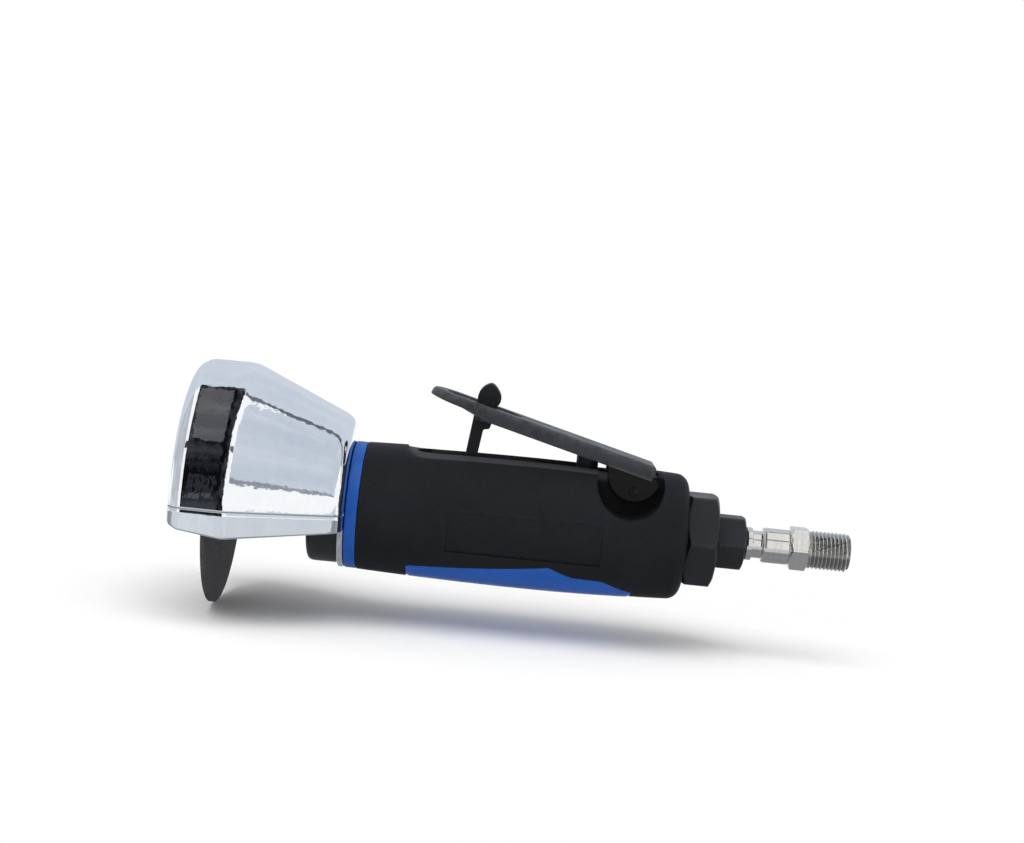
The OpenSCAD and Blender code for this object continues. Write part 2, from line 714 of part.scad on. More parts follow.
module front_bearing_outer() color("#c4c7ca")
  bearing_outer(x_front_plate, front_bearing_w, front_bearing_d, front_shaft_d);
module front_bearing_inner() color("#c4c7ca")
  bearing_inner(x_front_plate, front_bearing_w, front_bearing_d, front_shaft_d);
module front_bearing_balls() color("#dadcde")
  bearing_balls(x_front_plate, front_bearing_w, front_bearing_d, front_shaft_d);
module rear_bearing_outer() color("#c4c7ca")
  bearing_outer(x_washer - rear_bearing_w, rear_bearing_w, rear_bearing_d, rear_shaft_d);
module rear_bearing_inner() color("#c4c7ca")
  bearing_inner(x_washer - rear_bearing_w, rear_bearing_w, rear_bearing_d, rear_shaft_d);
module rear_bearing_balls() color("#dadcde")
  bearing_balls(x_washer - rear_bearing_w, rear_bearing_w, rear_bearing_d, rear_shaft_d);

// Room of the vanes in the rotor, widened by a gap
module vane_plates(gap) for (i = [0:vane_count - 1]) rotate([360 * i / vane_count, 0, 0])
  translate([x_liner + side_gap - (gap > 0 ? eps : 0), -vane_t / 2 - gap, rotor_r - run_gap - vane_depth - gap])
    cube([liner_len - 2 * side_gap + (gap > 0 ? 2 * eps : 0), vane_t + 2 * gap, vane_depth + (gap > 0 ? eps : 0)]);
module rotor_vanes() color("#6b4f34") vane_plates(0);

module rotor() color("#a8acb0") union() {
  difference() {
    bar(x_liner + side_gap, x_rear_plate - side_gap, rotor_r);
    vane_plates(run_gap);
  }
  bar(x_front_plate - rotor_thread, x_liner + 2 * side_gap, front_shaft_d / 2);
  bar(x_rear_plate - 2 * side_gap, x_washer, rear_shaft_d / 2);
}

// Wheel and its arbor

module wheel_arbor() color("#9a9da1") difference() {
  turned([[0, x_wheel + arbor_pilot], [pilot_r, x_wheel + arbor_pilot], [pilot_r, x_wheel + wheel_t],
    [clamp_d / 2, x_wheel + wheel_t], [clamp_d / 2, x_wheel + wheel_t + clamp_t],
    [arbor_d / 2, x_wheel + wheel_t + clamp_t + (clamp_d - arbor_d) / 2],
    [arbor_d / 2, x_front_plate - arbor_foot], [foot_r, x_front_plate - arbor_foot],
    [foot_r, x_front_plate], [0, x_front_plate]]);
  bar(x_front_plate - rotor_thread - eps, x_front_plate + eps, front_shaft_d / 2 + fit_gap);
  bar(x_wheel - eps, x_wheel + screw_len + eps, screw_d / 2 + fit_gap);
}

module cutting_wheel() color("#3a383c") tube(x_wheel, x_wheel + wheel_t, wheel_r, wheel_bore_d / 2);

module outer_flange() color("#9a9da1") difference() {
  turned([[0, x_wheel - clamp_t], [clamp_d / 2 - clamp_edge, x_wheel - clamp_t],
    [clamp_d / 2, x_wheel - clamp_t + clamp_edge], [clamp_d / 2, x_wheel], [0, x_wheel]]);
  bar(x_wheel - clamp_t - eps, x_wheel + eps, screw_d / 2 + fit_gap);
}

module wheel_screw() color("#4a4c50") difference() {
  union() {
    bar(x_wheel - clamp_t - screw_head_h, x_wheel - clamp_t, screw_head_d / 2);
    bar(x_wheel - clamp_t - eps, x_wheel - clamp_t + screw_len, screw_d / 2);
  }
  translate([x_wheel - clamp_t - screw_head_h - eps, 0, 0]) rotate([0, 90, 0])
    cylinder(h = screw_socket_h + eps, r = screw_socket_r, $fn = 6);
}

// Lever and lock, drawn in the lever's own frame where forward is minus X

module lever_plan() difference() {
  union() {
    translate([-lever_reach + lever_half, 0]) circle(lever_half);
    translate([-lever_reach + lever_half, -lever_half])
      square([lever_reach - lever_half + lever_back, 2 * lever_half]);
  }
  slot_shape(-lever_reach + lever_half - lever_slot_w / 2, -lock_arm + slot_back, lever_slot_w);
}

// Side view of an ear: half a disc that hangs from the flange and laps it
module ear_outline() polygon(concat(
  arc(-ear_ahead, lever_rise - flange_depth, ear_r, 180, 360, 24),
  [[lever_back, lever_rise - flange_depth + ear_step], [-ear_ahead - ear_r, lever_rise - flange_depth + ear_step]]));

// Side view of a flange below the plate
module flange_outline() translate([-flange_reach, lever_rise - flange_depth])
  square([flange_reach + lever_back, flange_depth - lever_t + eps]);

module upright(y0, thick) translate([0, y0 + thick, 0]) rotate([90, 0, 0]) linear_extrude(thick) children();

module throttle_lever() color("#3c3e44") on_lever() difference() {
  union() {
    translate([0, 0, lever_under]) linear_extrude(lever_t) lever_plan();
    for (side = [0, 1]) mirror([0, side, 0]) {
      upright(lever_half - ear_t, ear_t) flange_outline();
      upright(lever_half - ear_t, ear_t - ear_step) ear_outline();
      upright(lug_in, lug_t) translate([-lock_arm - lug_half, lock_n - lug_half])
        square([2 * lug_half, lug_half + lock_drop + eps]);
    }
  }
  across(0, 0, pin_r + run_gap, 4 * lever_half);
  across(-lock_arm, lock_n, lock_pin_r + fit_gap, 4 * lever_half);
}

module lever_pin() color("#1e1f22") across(x_pin, pin_z, pin_r, 2 * lever_half);

module lock_pin() color("#1e1f22") on_lever() across(-lock_arm, lock_n, lock_pin_r, 2 * (lug_in + lug_t));

// Outline of the lock about its pin: thumb tab above, leg and round tip below, stop nub behind
function lock_outline() = concat(
  arc(tab_w / 2 - leaf_r, leaf_z, leaf_r, leaf_high, -leaf_low, 8),
  [[lock_hub_r, 0], [lock_hub_r + lock_nub, -lock_nub / 2], [lock_hub_r + lock_nub, -lock_nub * 1.5],
    [lock_hub_r, -lock_nub * 2]],
  arc(lock_tip[0], lock_tip[1], lock_tip_r, lock_lean, lock_lean - 180, 8),
  [[-lock_hub_r, 0]],
  arc(leaf_r - tab_w / 2, leaf_z, leaf_r, 180 + leaf_low, 180 - leaf_high + 1, 8));

module safety_lock() color("#202124") on_lever() translate([-lock_arm, 0, lock_n]) difference() {
  upright(-lock_t / 2, lock_t) polygon(lock_outline());
  across(0, 0, lock_pin_r + run_gap, 2 * lock_t);
}

// Return spring of the lock, wound on its pin between the lock and a lug
lock_spring_path = helix(lock_pin_r + lock_spring_wire, lug_in - lock_t / 2 - 2 * lock_spring_wire, 2);
echo(lock_spring_gap = self_gap(lock_spring_path, lock_spring_wire));
module lock_spring() color("#b9bcc0") on_lever() translate([-lock_arm, -lug_in + lock_spring_wire, lock_n])
  rotate([-90, 0, 0]) wire_tube(lock_spring_path, lock_spring_wire);

// Throttle valve

module valve_bush() color("#b08d4a") translate([x_valve, 0, 0]) difference() {
  translate([0, 0, bush_low]) cylinder(h = bush_len, r = valve_r);
  translate([0, 0, guide_low]) cylinder(h = guide_len + eps, r = plunger_r + run_gap);
  translate([0, 0, bush_low - eps]) cylinder(h = bush_len, r = stem_r + side_gap + stem_room);
  translate([0, 0, bush_low + passage_r + run_gap]) bar(-2 * valve_r, 0, passage_r);
}

module valve_stem() color("#1e1f22") translate([x_valve, 0, 0]) union() {
  dome_side = sqrt(dome_r * dome_r - plunger_r * plunger_r);
  plunger_low = guide_low + valve_travel + side_gap;
  translate([0, 0, plunger_low]) cylinder(h = dome_z + dome_side - plunger_low, r = plunger_r);
  intersection() {
    translate([0, 0, plunger_low]) cylinder(h = dome_z + dome_r - plunger_low, r = plunger_r);
    translate([0, 0, dome_z]) sphere(dome_r);
  }
  translate([0, 0, head_low]) cylinder(h = plunger_low - head_low + eps, r = stem_r);
  translate([0, 0, head_low]) cylinder(h = head_t, r = head_r);
}

module valve_oring() color("#151515") translate([x_valve, 0, head_top]) difference() {
  rotate_extrude() translate([oring_r, 0]) circle(ring_wire, $fn = 24);
  translate([0, 0, -2 * ring_wire]) cylinder(h = 2 * ring_wire + fit_gap, r = 2 * head_r);
}

valve_spring_path = helix(head_r - spring_wire, spring_room - spring_wire - 2 * side_gap, spring_turns);
echo(valve_spring_gap = self_gap(valve_spring_path, spring_wire));
module valve_spring() color("#b9bcc0") translate([x_valve, 0, valve_floor + spring_wire / 2 + side_gap])
  wire_tube(valve_spring_path, spring_wire);

// Rear cap and air inlet

module rear_cap() color("#26282c") difference() {
  union() {
    hex_bar(x_cap, x_bushing, cap_af);
    bar(x_spigot, x_cap + eps, cap_spigot_r);
  }
  bar(x_spigot - eps, x_bushing - cap_end_t, cap_spigot_r - cap_wall);
  bar(x_spigot - eps, x_bushing + eps, bushing_r + fit_gap);
  o_ring(x_cap_ring, cap_spigot_r, cap_ring_wire + fit_gap);
  for (i = [0:exhaust_holes - 1]) rotate([360 * i / exhaust_holes, 0, 0])
    translate([0, 0, cap_spigot_r - cap_wall]) bar(x_bushing - cap_end_t - eps, x_bushing + eps, exhaust_hole_r);
}

module cap_oring() color("#151515") intersection() {
  o_ring(x_cap_ring, cap_spigot_r, cap_ring_wire);
  bar(x_spigot, x_cap, cap_spigot_r);
}

module silencer_felt() color("#8d8577")
  tube(x_spigot, x_bushing - cap_end_t, cap_spigot_r - cap_wall - fit_gap, bushing_r + 2 * fit_gap);

module inlet_bushing() color("#26282c") difference() {
  union() {
    hex_bar(x_bushing, x_seal, bushing_af);
    bar(x_bushing_tip, x_bushing + eps, bushing_r);
  }
  bar(x_bushing_tip - eps, x_seal + eps, air_bore_d / 2);
  bar(x_seal - tail_len - fit_gap, x_seal + eps, tail_d / 2 + fit_gap);
}

module inlet_screen() color("#b9bcc0") difference() {
  bar(x_bushing_tip, x_bushing_tip + screen_t, air_bore_d / 2 - fit_gap);
  for (i = [0:screen_holes - 1]) rotate([360 * i / screen_holes, 0, 0])
    translate([0, 0, air_bore_d / 3.4]) bar(x_bushing_tip - eps, x_bushing_tip + screen_t + eps, screen_hole_r);
  bar(x_bushing_tip - eps, x_bushing_tip + screen_t + eps, screen_hole_r);
}

module nipple_seal() color("#a8643a") tube(x_seal, x_flange, flange_d / 2, tail_d / 2 + fit_gap);

// Outer side of the hose thread, as radius and station: one groove each pitch
function thread_side() = [for (i = [0:thread_turns - 1]) let (x = thread_pitch * (i + 0.5))
  for (p = [[0, 0], [thread_depth, 0.4], [thread_depth, 0.5], [0, 0.9]])
    [thread_d / 2 - p[0], x + p[1] * thread_pitch]];

module air_nipple() color("#bebcb9") difference() {
  union() {
    bar(x_flange, x_neck, flange_d / 2);
    bar(x_seal - tail_len, x_flange + eps, tail_d / 2);
    bar(x_neck - eps, x_sleeve + eps, neck_d / 2);
    turned([[0, x_sleeve], [sleeve_d / 2 - sleeve_edge, x_sleeve], [sleeve_d / 2, x_sleeve + sleeve_edge],
      [sleeve_d / 2, x_hex + eps], [0, x_hex + eps]]);
    hex_bar(x_hex, 0, fitting_af);
    turned(concat([[0, -eps], [thread_d / 2, -eps]], thread_side(),
      [[thread_d / 2, thread_len - thread_depth], [thread_d / 2 - thread_depth, thread_len], [0, thread_len]]));
  }
  bar(x_seal - tail_len - eps, thread_len + eps, air_bore_d / 2);
}

motor_housing();
rubber_grip();
grip_inlay();
front_collar();
nose_piece();
guard_nut();
shaft_seal();
front_end_plate();
rear_end_plate();
cylinder_liner();
locating_pins();
wave_washer();
front_bearing_outer();
front_bearing_inner();
front_bearing_balls();
rear_bearing_outer();
rear_bearing_inner();
rear_bearing_balls();
rotor();
rotor_vanes();
wheel_arbor();
cutting_wheel();
outer_flange();
wheel_screw();
wheel_guard();
throttle_lever();
lever_pin();
lock_pin();
lock_spring();
safety_lock();
valve_bush();
valve_stem();
valve_oring();
valve_spring();
rear_cap();
cap_oring();
silencer_felt();
inlet_bushing();
inlet_screen();
air_nipple();
nipple_seal();
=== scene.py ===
# %% [markdown]
# Pneumatic cut off tool, dressed for its photograph.
# The CAD model comes in as a fixed frame: every piece here takes its place from that frame, in metres.
# Shapes are numpy arrays, so each piece is a formula on a grid that you can read and change.

# %% Load the frame
import json
from math import radians

import bmesh
import bpy
import numpy as np
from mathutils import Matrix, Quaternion, Vector

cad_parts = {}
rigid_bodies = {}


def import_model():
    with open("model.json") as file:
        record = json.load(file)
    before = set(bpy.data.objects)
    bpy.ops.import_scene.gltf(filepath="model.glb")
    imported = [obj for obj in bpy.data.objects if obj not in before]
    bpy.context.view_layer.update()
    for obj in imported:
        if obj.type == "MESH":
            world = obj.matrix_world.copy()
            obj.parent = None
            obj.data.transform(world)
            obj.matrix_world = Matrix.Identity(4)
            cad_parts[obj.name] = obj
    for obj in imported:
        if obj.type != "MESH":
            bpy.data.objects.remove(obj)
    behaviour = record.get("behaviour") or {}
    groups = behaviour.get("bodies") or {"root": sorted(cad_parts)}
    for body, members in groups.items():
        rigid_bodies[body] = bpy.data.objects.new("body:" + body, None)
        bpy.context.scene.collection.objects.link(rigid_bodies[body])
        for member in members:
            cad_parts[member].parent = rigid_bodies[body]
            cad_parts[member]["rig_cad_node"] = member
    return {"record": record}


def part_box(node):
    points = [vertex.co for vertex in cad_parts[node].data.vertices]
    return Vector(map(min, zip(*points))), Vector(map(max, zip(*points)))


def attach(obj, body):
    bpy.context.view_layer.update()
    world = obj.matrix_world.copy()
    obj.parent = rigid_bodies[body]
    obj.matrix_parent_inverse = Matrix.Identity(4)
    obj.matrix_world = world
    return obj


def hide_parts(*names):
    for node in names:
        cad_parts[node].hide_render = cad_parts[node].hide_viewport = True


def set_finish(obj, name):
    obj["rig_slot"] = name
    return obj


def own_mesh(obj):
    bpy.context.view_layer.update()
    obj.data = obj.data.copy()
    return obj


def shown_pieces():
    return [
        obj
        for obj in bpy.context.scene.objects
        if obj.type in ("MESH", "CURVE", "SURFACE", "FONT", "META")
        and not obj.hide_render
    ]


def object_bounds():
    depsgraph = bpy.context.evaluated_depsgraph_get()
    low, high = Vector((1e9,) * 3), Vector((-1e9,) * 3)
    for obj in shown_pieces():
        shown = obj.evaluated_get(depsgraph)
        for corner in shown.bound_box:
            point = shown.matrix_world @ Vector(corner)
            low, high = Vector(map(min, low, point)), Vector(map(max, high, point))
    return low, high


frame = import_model()
cad_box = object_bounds()
MM = 0.001


# %% [markdown]
# Stations and radii are read from the boxes of the CAD nodes, in millimetres, because a small tool is
# easier to think about in millimetres. A helper returns the low and high corner of a node.

# %% Read the sizes that pieces share
def span(node):
    """Low and high corner of a CAD node, in millimetres."""
    lo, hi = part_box(node)
    return np.array(lo) / MM, np.array(hi) / MM


grip_lo, grip_hi = span("rubber_grip")
pin_lo, pin_hi = span("lever_pin")
x_grip, x_cap = grip_lo[0], grip_hi[0]
x_pin, pin_z = (pin_lo[0] + pin_hi[0]) / 2, (pin_lo[2] + pin_hi[2]) / 2
lever_half = pin_hi[1]
housing_r = span("motor_housing")[1][1]
grip_len = x_cap - x_grip
print("grip %.1f mm long, lever pin at X %.1f Z %.1f" % (grip_len, x_pin, pin_z))


# %% [markdown]
# Every surface here is a grid of points. Rows follow a profile and columns go round it, so the faces are
# the same quads each time. Grids join into one mesh; doubles at poles are merged and normals turned out.

# %% Grids to meshes
WELD, SLIVER = 0.002 * MM, 0.001 * MM


def quads(rows, cols, wrap_rows=False, wrap_cols=True):
    """Four corner indices of each cell of a grid, whose rows or columns may run round to the start."""
    r = np.arange(rows if wrap_rows else rows - 1)[:, None]
    c = np.arange(cols if wrap_cols else cols - 1)[None, :]
    r2, c2 = (r + 1) % rows, (c + 1) % cols
    cells = np.stack([r * cols + c, r * cols + c2, r2 * cols + c2, r2 * cols + c], axis=-1)
    return cells.reshape(-1, 4)


def shell(points, wrap_rows=False, wrap_cols=True, caps=False):
    """A grid of points (rows, cols, 3) as (points, faces). Caps close the first and the last row."""
    rows, cols = points.shape[:2]
    faces = quads(rows, cols, wrap_rows, wrap_cols).tolist()
    if caps:
        faces.append(list(range(cols))[::-1])
        faces.append(list(range((rows - 1) * cols, rows * cols)))
    return points.reshape(-1, 3), faces


def new_mesh(name, shells):
    """One mesh in metres from shells in millimetres: doubles merged, normals outward, sharp edges marked."""
    points, faces, base = [], [], 0
    for p, f in shells:
        points.append(p)
        faces += [[i + base for i in face] for face in f]
        base += len(p)
    mesh = bpy.data.meshes.new(name)
    mesh.from_pydata((np.concatenate(points) * MM).tolist(), [], faces)
    settle(mesh)
    return mesh


def settle(mesh, sharp=32):
    """Merges doubles, turns normals outward and shades smooth up to an angle in degrees."""
    b = bmesh.new()
    b.from_mesh(mesh)
    bmesh.ops.remove_doubles(b, verts=b.verts, dist=WELD)
    bmesh.ops.dissolve_degenerate(b, edges=b.edges, dist=SLIVER)
    bmesh.ops.recalc_face_normals(b, faces=b.faces)
    b.to_mesh(mesh)
    b.free()
    mesh.shade_smooth()
    mesh.set_sharp_from_angle(angle=radians(sharp))
    mesh.update()


def mark_edges(mesh, rounds=2, gain=4):
    """Stores how far each point stands out from its neighbours, 0 flat to 1 sharp, as the attribute edge.
    For every mesh edge the slope from one end's normal to the other end is added up, then averaged."""
    n = len(mesh.vertices)
    co, no = np.empty(n * 3, np.float32), np.empty(n * 3, np.float32)
    mesh.vertices.foreach_get("co", co)
    mesh.vertex_normals.foreach_get("vector", no)
    ends = np.empty(len(mesh.edges) * 2, np.int32)
    mesh.edges.foreach_get("vertices", ends)
    co, no, ends = co.reshape(-1, 3), no.reshape(-1, 3), ends.reshape(-1, 2)
    a, b = np.concatenate([ends[:, 0], ends[:, 1]]), np.concatenate([ends[:, 1], ends[:, 0]])
    step = co[b] - co[a]
    slope = -(step * no[a]).sum(1) / np.maximum(np.linalg.norm(step, axis=1), 1e-9)
    count = np.maximum(np.bincount(a, minlength=n), 1)
    value = np.clip(np.bincount(a, slope, minlength=n) / count * gain, 0, 1)
    for _ in range(rounds):
        value = 0.5 * value + 0.5 * np.bincount(a, value[b], minlength=n) / count
    attribute = mesh.attributes.new("edge", "FLOAT", "POINT")
    attribute.data.foreach_set("value", value.astype(np.float32))


def mark(mesh, label, share):
    """Stores a share from 0 to 1 at each point, worked out by a function of its place in millimetres."""
    co = np.empty(len(mesh.vertices) * 3, np.float32)
    mesh.vertices.foreach_get("co", co)
    value = np.clip(share(*(co.reshape(-1, 3) / MM).T), 0, 1)
    mesh.attributes.new(label, "FLOAT", "POINT").data.foreach_set("value", value.astype(np.float32))


def add_piece(name, shells, body, nodes, slot):
    """Makes a piece from shells, lets it ride on a body and stand for CAD nodes."""
    mesh = shells if isinstance(shells, bpy.types.Mesh) else new_mesh(name, shells)
    mark_edges(mesh)
    piece = bpy.data.objects.new(name, mesh)
    bpy.context.scene.collection.objects.link(piece)
    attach(piece, body)
    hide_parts(*nodes)
    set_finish(piece, slot)
    print("%-16s %6d faces" % (name, len(mesh.polygons)))
    return piece


# %% [markdown]
# Real edges are never knife sharp. One helper rounds the corners of a profile with short curves, and two
# helpers turn profiles into solids: a lathe for round pieces and a slab for plates cut from sheet.

# %% Profiles, lathe and slab
SIDE_FILL, FACE_INSET = 0.96, 0.04


def eased(points, radius, steps=5, closed=True):
    """Rounds each corner of a polyline: a quadratic curve runs from one side to the other of the corner.
    The radius is one number or one per corner. Two corners that want more than their side share it fairly."""
    p = np.asarray(points, float)
    before, after = np.roll(p, 1, 0) - p, np.roll(p, -1, 0) - p
    side = np.linalg.norm(after, axis=1)
    want = np.broadcast_to(np.asarray(radius, float), len(p))
    share = np.minimum(1, SIDE_FILL * side / np.maximum(want + np.roll(want, -1), 1e-9))
    reach = want * np.minimum(share, np.roll(share, 1))
    start = p + before / np.roll(side, 1)[:, None] * reach[:, None]
    end = p + after / side[:, None] * reach[:, None]
    t = np.linspace(0, 1, steps)[None, :, None]
    curve = (1 - t) ** 2 * start[:, None] + 2 * t * (1 - t) * p[:, None] + t ** 2 * end[:, None]
    if not closed:
        curve[0], curve[-1] = p[0], p[-1]
    return curve.reshape(-1, 2)


def dense(points, step, closed=True):
    """The same polyline with points no further apart than a step, so that a surface can bend between them."""
    p = np.asarray(points, float)
    ring = np.vstack([p, p[:1]]) if closed else p
    run = np.concatenate([[0], np.cumsum(np.linalg.norm(np.diff(ring, axis=0), axis=1))])
    keep = np.union1d(run, np.arange(0, run[-1], step))
    if closed:
        keep = keep[:-1]
    return np.stack([np.interp(keep, run, ring[:, k]) for k in (0, 1)], axis=1)


def lathe(profile, closed=True, turns=96, limit=None, axis="x", at=(0, 0, 0)):
    """Turns a profile of (station, radius) about an axis: a point goes to (station, r cos t, r sin t).
    Limit is a greatest radius for each angle, as the flats of a hexagon give it."""
    angle = np.linspace(0, 2 * np.pi, turns, endpoint=False)
    station, r = profile[:, 0][:, None], profile[:, 1][:, None]
    r = r * np.ones_like(angle) if limit is None else np.minimum(r, limit(angle))
    across, up, along = r * np.cos(angle), r * np.sin(angle), station * np.ones_like(angle)
    order = {"x": (along, across, up), "y": (across, along, up), "z": (across, up, along)}[axis]
    return shell(np.stack(order, axis=-1) + np.asarray(at, float), wrap_rows=closed)


def outward(outline):
    """Unit normals of a closed outline that runs counter clockwise: its tangent turned by a right angle."""
    tangent = np.roll(outline, -1, 0) - np.roll(outline, 1, 0)
    normal = np.stack([tangent[:, 1], -tangent[:, 0]], axis=1)
    return normal / np.maximum(np.linalg.norm(normal, axis=1), 1e-9)[:, None]


def slab(outline, low, high, ease, place):
    """A plate with rounded edges: the outline is drawn in along its normals near both faces, by the share
    of a quarter circle, and place(u, v, height) puts the layers where the plate goes."""
    turn = np.linspace(0, np.pi / 2, 5)
    inset = np.r_[ease + FACE_INSET, ease * (1 - np.sin(turn))]
    height = np.r_[low, low + ease * (1 - np.cos(turn))]
    inset = np.concatenate([inset, inset[::-1]])[:, None, None]
    height = np.concatenate([height, (low + high - height)[::-1]])
    ring = outline[None] - inset * outward(outline)[None]
    layers = place(ring[..., 0], ring[..., 1], height[:, None] * np.ones(len(outline)))
    return shell(np.stack(layers, axis=-1), caps=True)


def circle(cx, cy, r, start=0.0, end=360.0, count=48):
    """Points of an arc, angles in degrees; a full circle leaves out its last point."""
    t = np.radians(np.linspace(start, end, count, endpoint=abs(end - start) < 360))
    return np.stack([cx + r * np.cos(t), cy + r * np.sin(t)], axis=1)


def ring_section(low, high, inner, outer, ease, steps=5):
    """Section of a ring as (station, radius), with eased corners: in, out, along and in again."""
    return eased([[low, inner], [low, outer], [high, outer], [high, inner]], ease, steps)


def ring_piece(name, node, inner, ease, slot, steps=5, step=1.0):
    """A turned ring of the body, from an inner radius to the outer radius of its node."""
    lo, hi = span(node)
    section = ring_section(lo[0], hi[0], inner, hi[1], ease, steps)
    add_piece(name, [lathe(dense(section, step))], "body", [node], slot)


# %% [markdown]
# The guard is pressed from sheet and chromed: a drum over the wheel, a cone and a flat back. Its section
# is carried along an arch: down the near skirt, over the top and down the far skirt. Where the arch ends,
# the section is drawn in a little, so that the lips of the skirts are round like real pressed edges.

# %% Wheel guard
guard_lo, guard_hi = span("wheel_guard")
x_guard, x_guard_back, guard_r = guard_lo[0], guard_hi[0], guard_hi[1]
guard_wall, guard_lip, drum_len, guard_back_r = 2.0, 4.4, 18.6, 29.3
front_corner, front_inner, front_slope = 3.6, 2.6, (3.4, 2.2)
back_corner, edge_round, sheet_ease = 4.8, 2.6, 0.4
skirt_h, skirt_lean, skirt_top, skirt_run, lip_round = 8.0, 0.07, 2.0, (6.8, 2.2), 0.55
crease_at, crease_w, crease_depth = 0.9, 0.7, 0.25
nose_r, ring_w = 15.56, 6.34
x_drum = x_guard + drum_len
skirt_x = [x_guard, x_guard + 1.2, x_guard + 4, x_drum, x_guard_back]
skirt_low = [4.6, 6.4, 7.6, 9.5, 6.2]
ARCH_STEPS, LIP_STEPS, CREASE_STEPS = 97, 6, 9


def guard_section():
    """Section of the guard as (station, radius): out along the lip, over drum and cone, in to the nose and
    back along the inside, one wall thinner. Each corner has its own rounding."""
    cone = (guard_r - guard_back_r) / (x_guard_back - x_drum)
    inner_r, x_inner = guard_r - guard_wall, x_guard_back - guard_wall
    corners = np.array([
        [x_guard, guard_r - guard_lip, sheet_ease],
        [x_guard, guard_r - front_slope[1], front_corner],
        [x_guard + front_slope[0], guard_r, front_corner],
        [x_drum, guard_r, edge_round],
        [x_guard_back, guard_back_r, back_corner],
        [x_guard_back, nose_r, sheet_ease],
        [x_inner, nose_r, sheet_ease],
        [x_inner, guard_back_r - guard_wall * (1 - cone), back_corner - guard_wall],
        [x_drum - guard_wall * cone / 2, inner_r, edge_round],
        [x_guard + guard_wall, inner_r, front_inner],
        [x_guard + guard_wall, guard_r - guard_lip, sheet_ease]])
    return dense(eased(corners[:, :2], corners[:, 2], steps=9), 2.5)


def arch(section):
    """Carries the section along the arch. A station on the arch has a direction (cos, sin) for the radius and
    a drop for the skirts. The section shrinks along its normals by a quarter circle at the ends, and a little
    at the crease over each skirt. Skirts lean in; their lower edge is deepest where drum and cone meet."""
    turn, quarter = np.linspace(0, np.pi, ARCH_STEPS), np.linspace(0, np.pi / 2, LIP_STEPS)
    drop = np.concatenate([skirt_h - lip_round * (1 - np.cos(quarter)), np.linspace(*skirt_run, LIP_STEPS),
                           crease_at + crease_w * np.linspace(1, -1, CREASE_STEPS)])
    level, ends = np.zeros(ARCH_STEPS), np.zeros(len(drop))
    ends[:LIP_STEPS] = lip_round * (1 - np.sin(quarter))
    angle = np.concatenate([np.zeros(len(drop)), turn, np.full(len(drop), np.pi)])[:, None]
    fall = np.concatenate([drop, level, drop[::-1]])[:, None]
    into_crease = np.cos(np.clip((fall - crease_at) / crease_w, -1, 1) * np.pi / 2) ** 2 * (fall > 0)
    shrink = np.concatenate([ends, level, ends[::-1]])[:, None] + crease_depth * into_crease
    body = section[None] - shrink[..., None] * outward(section[::-1])[::-1][None]
    station, r = body[..., 0], body[..., 1] - skirt_lean * np.maximum(fall - crease_at, 0)
    rise = skirt_h - np.interp(station, skirt_x, skirt_low)
    rise = rise * np.maximum(fall - skirt_top, 0) / (skirt_h - skirt_top)
    up = r * np.sin(angle) - fall + rise
    return shell(np.stack([station, -r * np.cos(angle), up], axis=-1), caps=True)


ring = ring_section(x_guard_back - guard_wall, x_guard_back, nose_r, nose_r + ring_w, sheet_ease)
add_piece("guard_shell", [arch(guard_section()), lathe(ring)], "guard", ["wheel_guard"], "chrome")


# %% [markdown]
# The wheel is a thin resin bonded disc. Its rim is a little ragged, as a pressed abrasive edge is, so the
# radius gets a few small waves. The clamping flange, its screw and the arbor are plain turned steel.

# %% Wheel, flange, screw and arbor
wheel_lo, wheel_hi = span("cutting_wheel")
flange_lo, flange_hi = span("outer_flange")
screw_lo, screw_hi = span("wheel_screw")
arbor_lo, arbor_hi = span("wheel_arbor")
x_wheel, x_clamp, wheel_r, wheel_bore_r = wheel_lo[0], wheel_hi[0], wheel_hi[1], 4.8
rim_wave = 0.03
RIM_WAVES = np.array([[1.0, 17, 0], [0.7, 41, 1], [0.5, 97, 2]])


def rim_waves(angle):
    """Greatest radius of the wheel at an angle: the full radius less three small waves."""
    size, count, phase = RIM_WAVES.T[..., None]
    return wheel_r - rim_wave * (size * (1 + np.sin(count * angle + phase))).sum(0)


disc = dense(ring_section(x_wheel, x_clamp, wheel_bore_r, wheel_r, [0.1, 0.35, 0.35, 0.1]), 2)
add_piece("abrasive_wheel", [lathe(disc, turns=240, limit=rim_waves)], "rotor", ["cutting_wheel"], "abrasive")

flange_bore_r, flange_face_r, flange_slope, turned_ease = 2.55, 10.0, 1.0, 0.3
flange_profile = eased([[flange_lo[0], flange_bore_r], [flange_lo[0], flange_face_r],
                        [flange_lo[0] + flange_slope, flange_hi[1]], [flange_hi[0], flange_hi[1]],
                        [flange_hi[0], flange_bore_r]], turned_ease)
add_piece("clamp_flange", [lathe(flange_profile)], "rotor", ["outer_flange"], "steel")

x_head, head_r, face_r, shank_r, head_h = screw_lo[0], screw_hi[1], 2.3, 2.5, 3.0
key_af, socket_h, SCREW_TURNS = 3.6, 1.8, 96


def socket_limit(angle):
    """Radius of the key's hexagon at an angle: half the width over the cosine."""
    return key_af / 2 / np.cos((angle + np.pi / 6) % (np.pi / 3) - np.pi / 6)


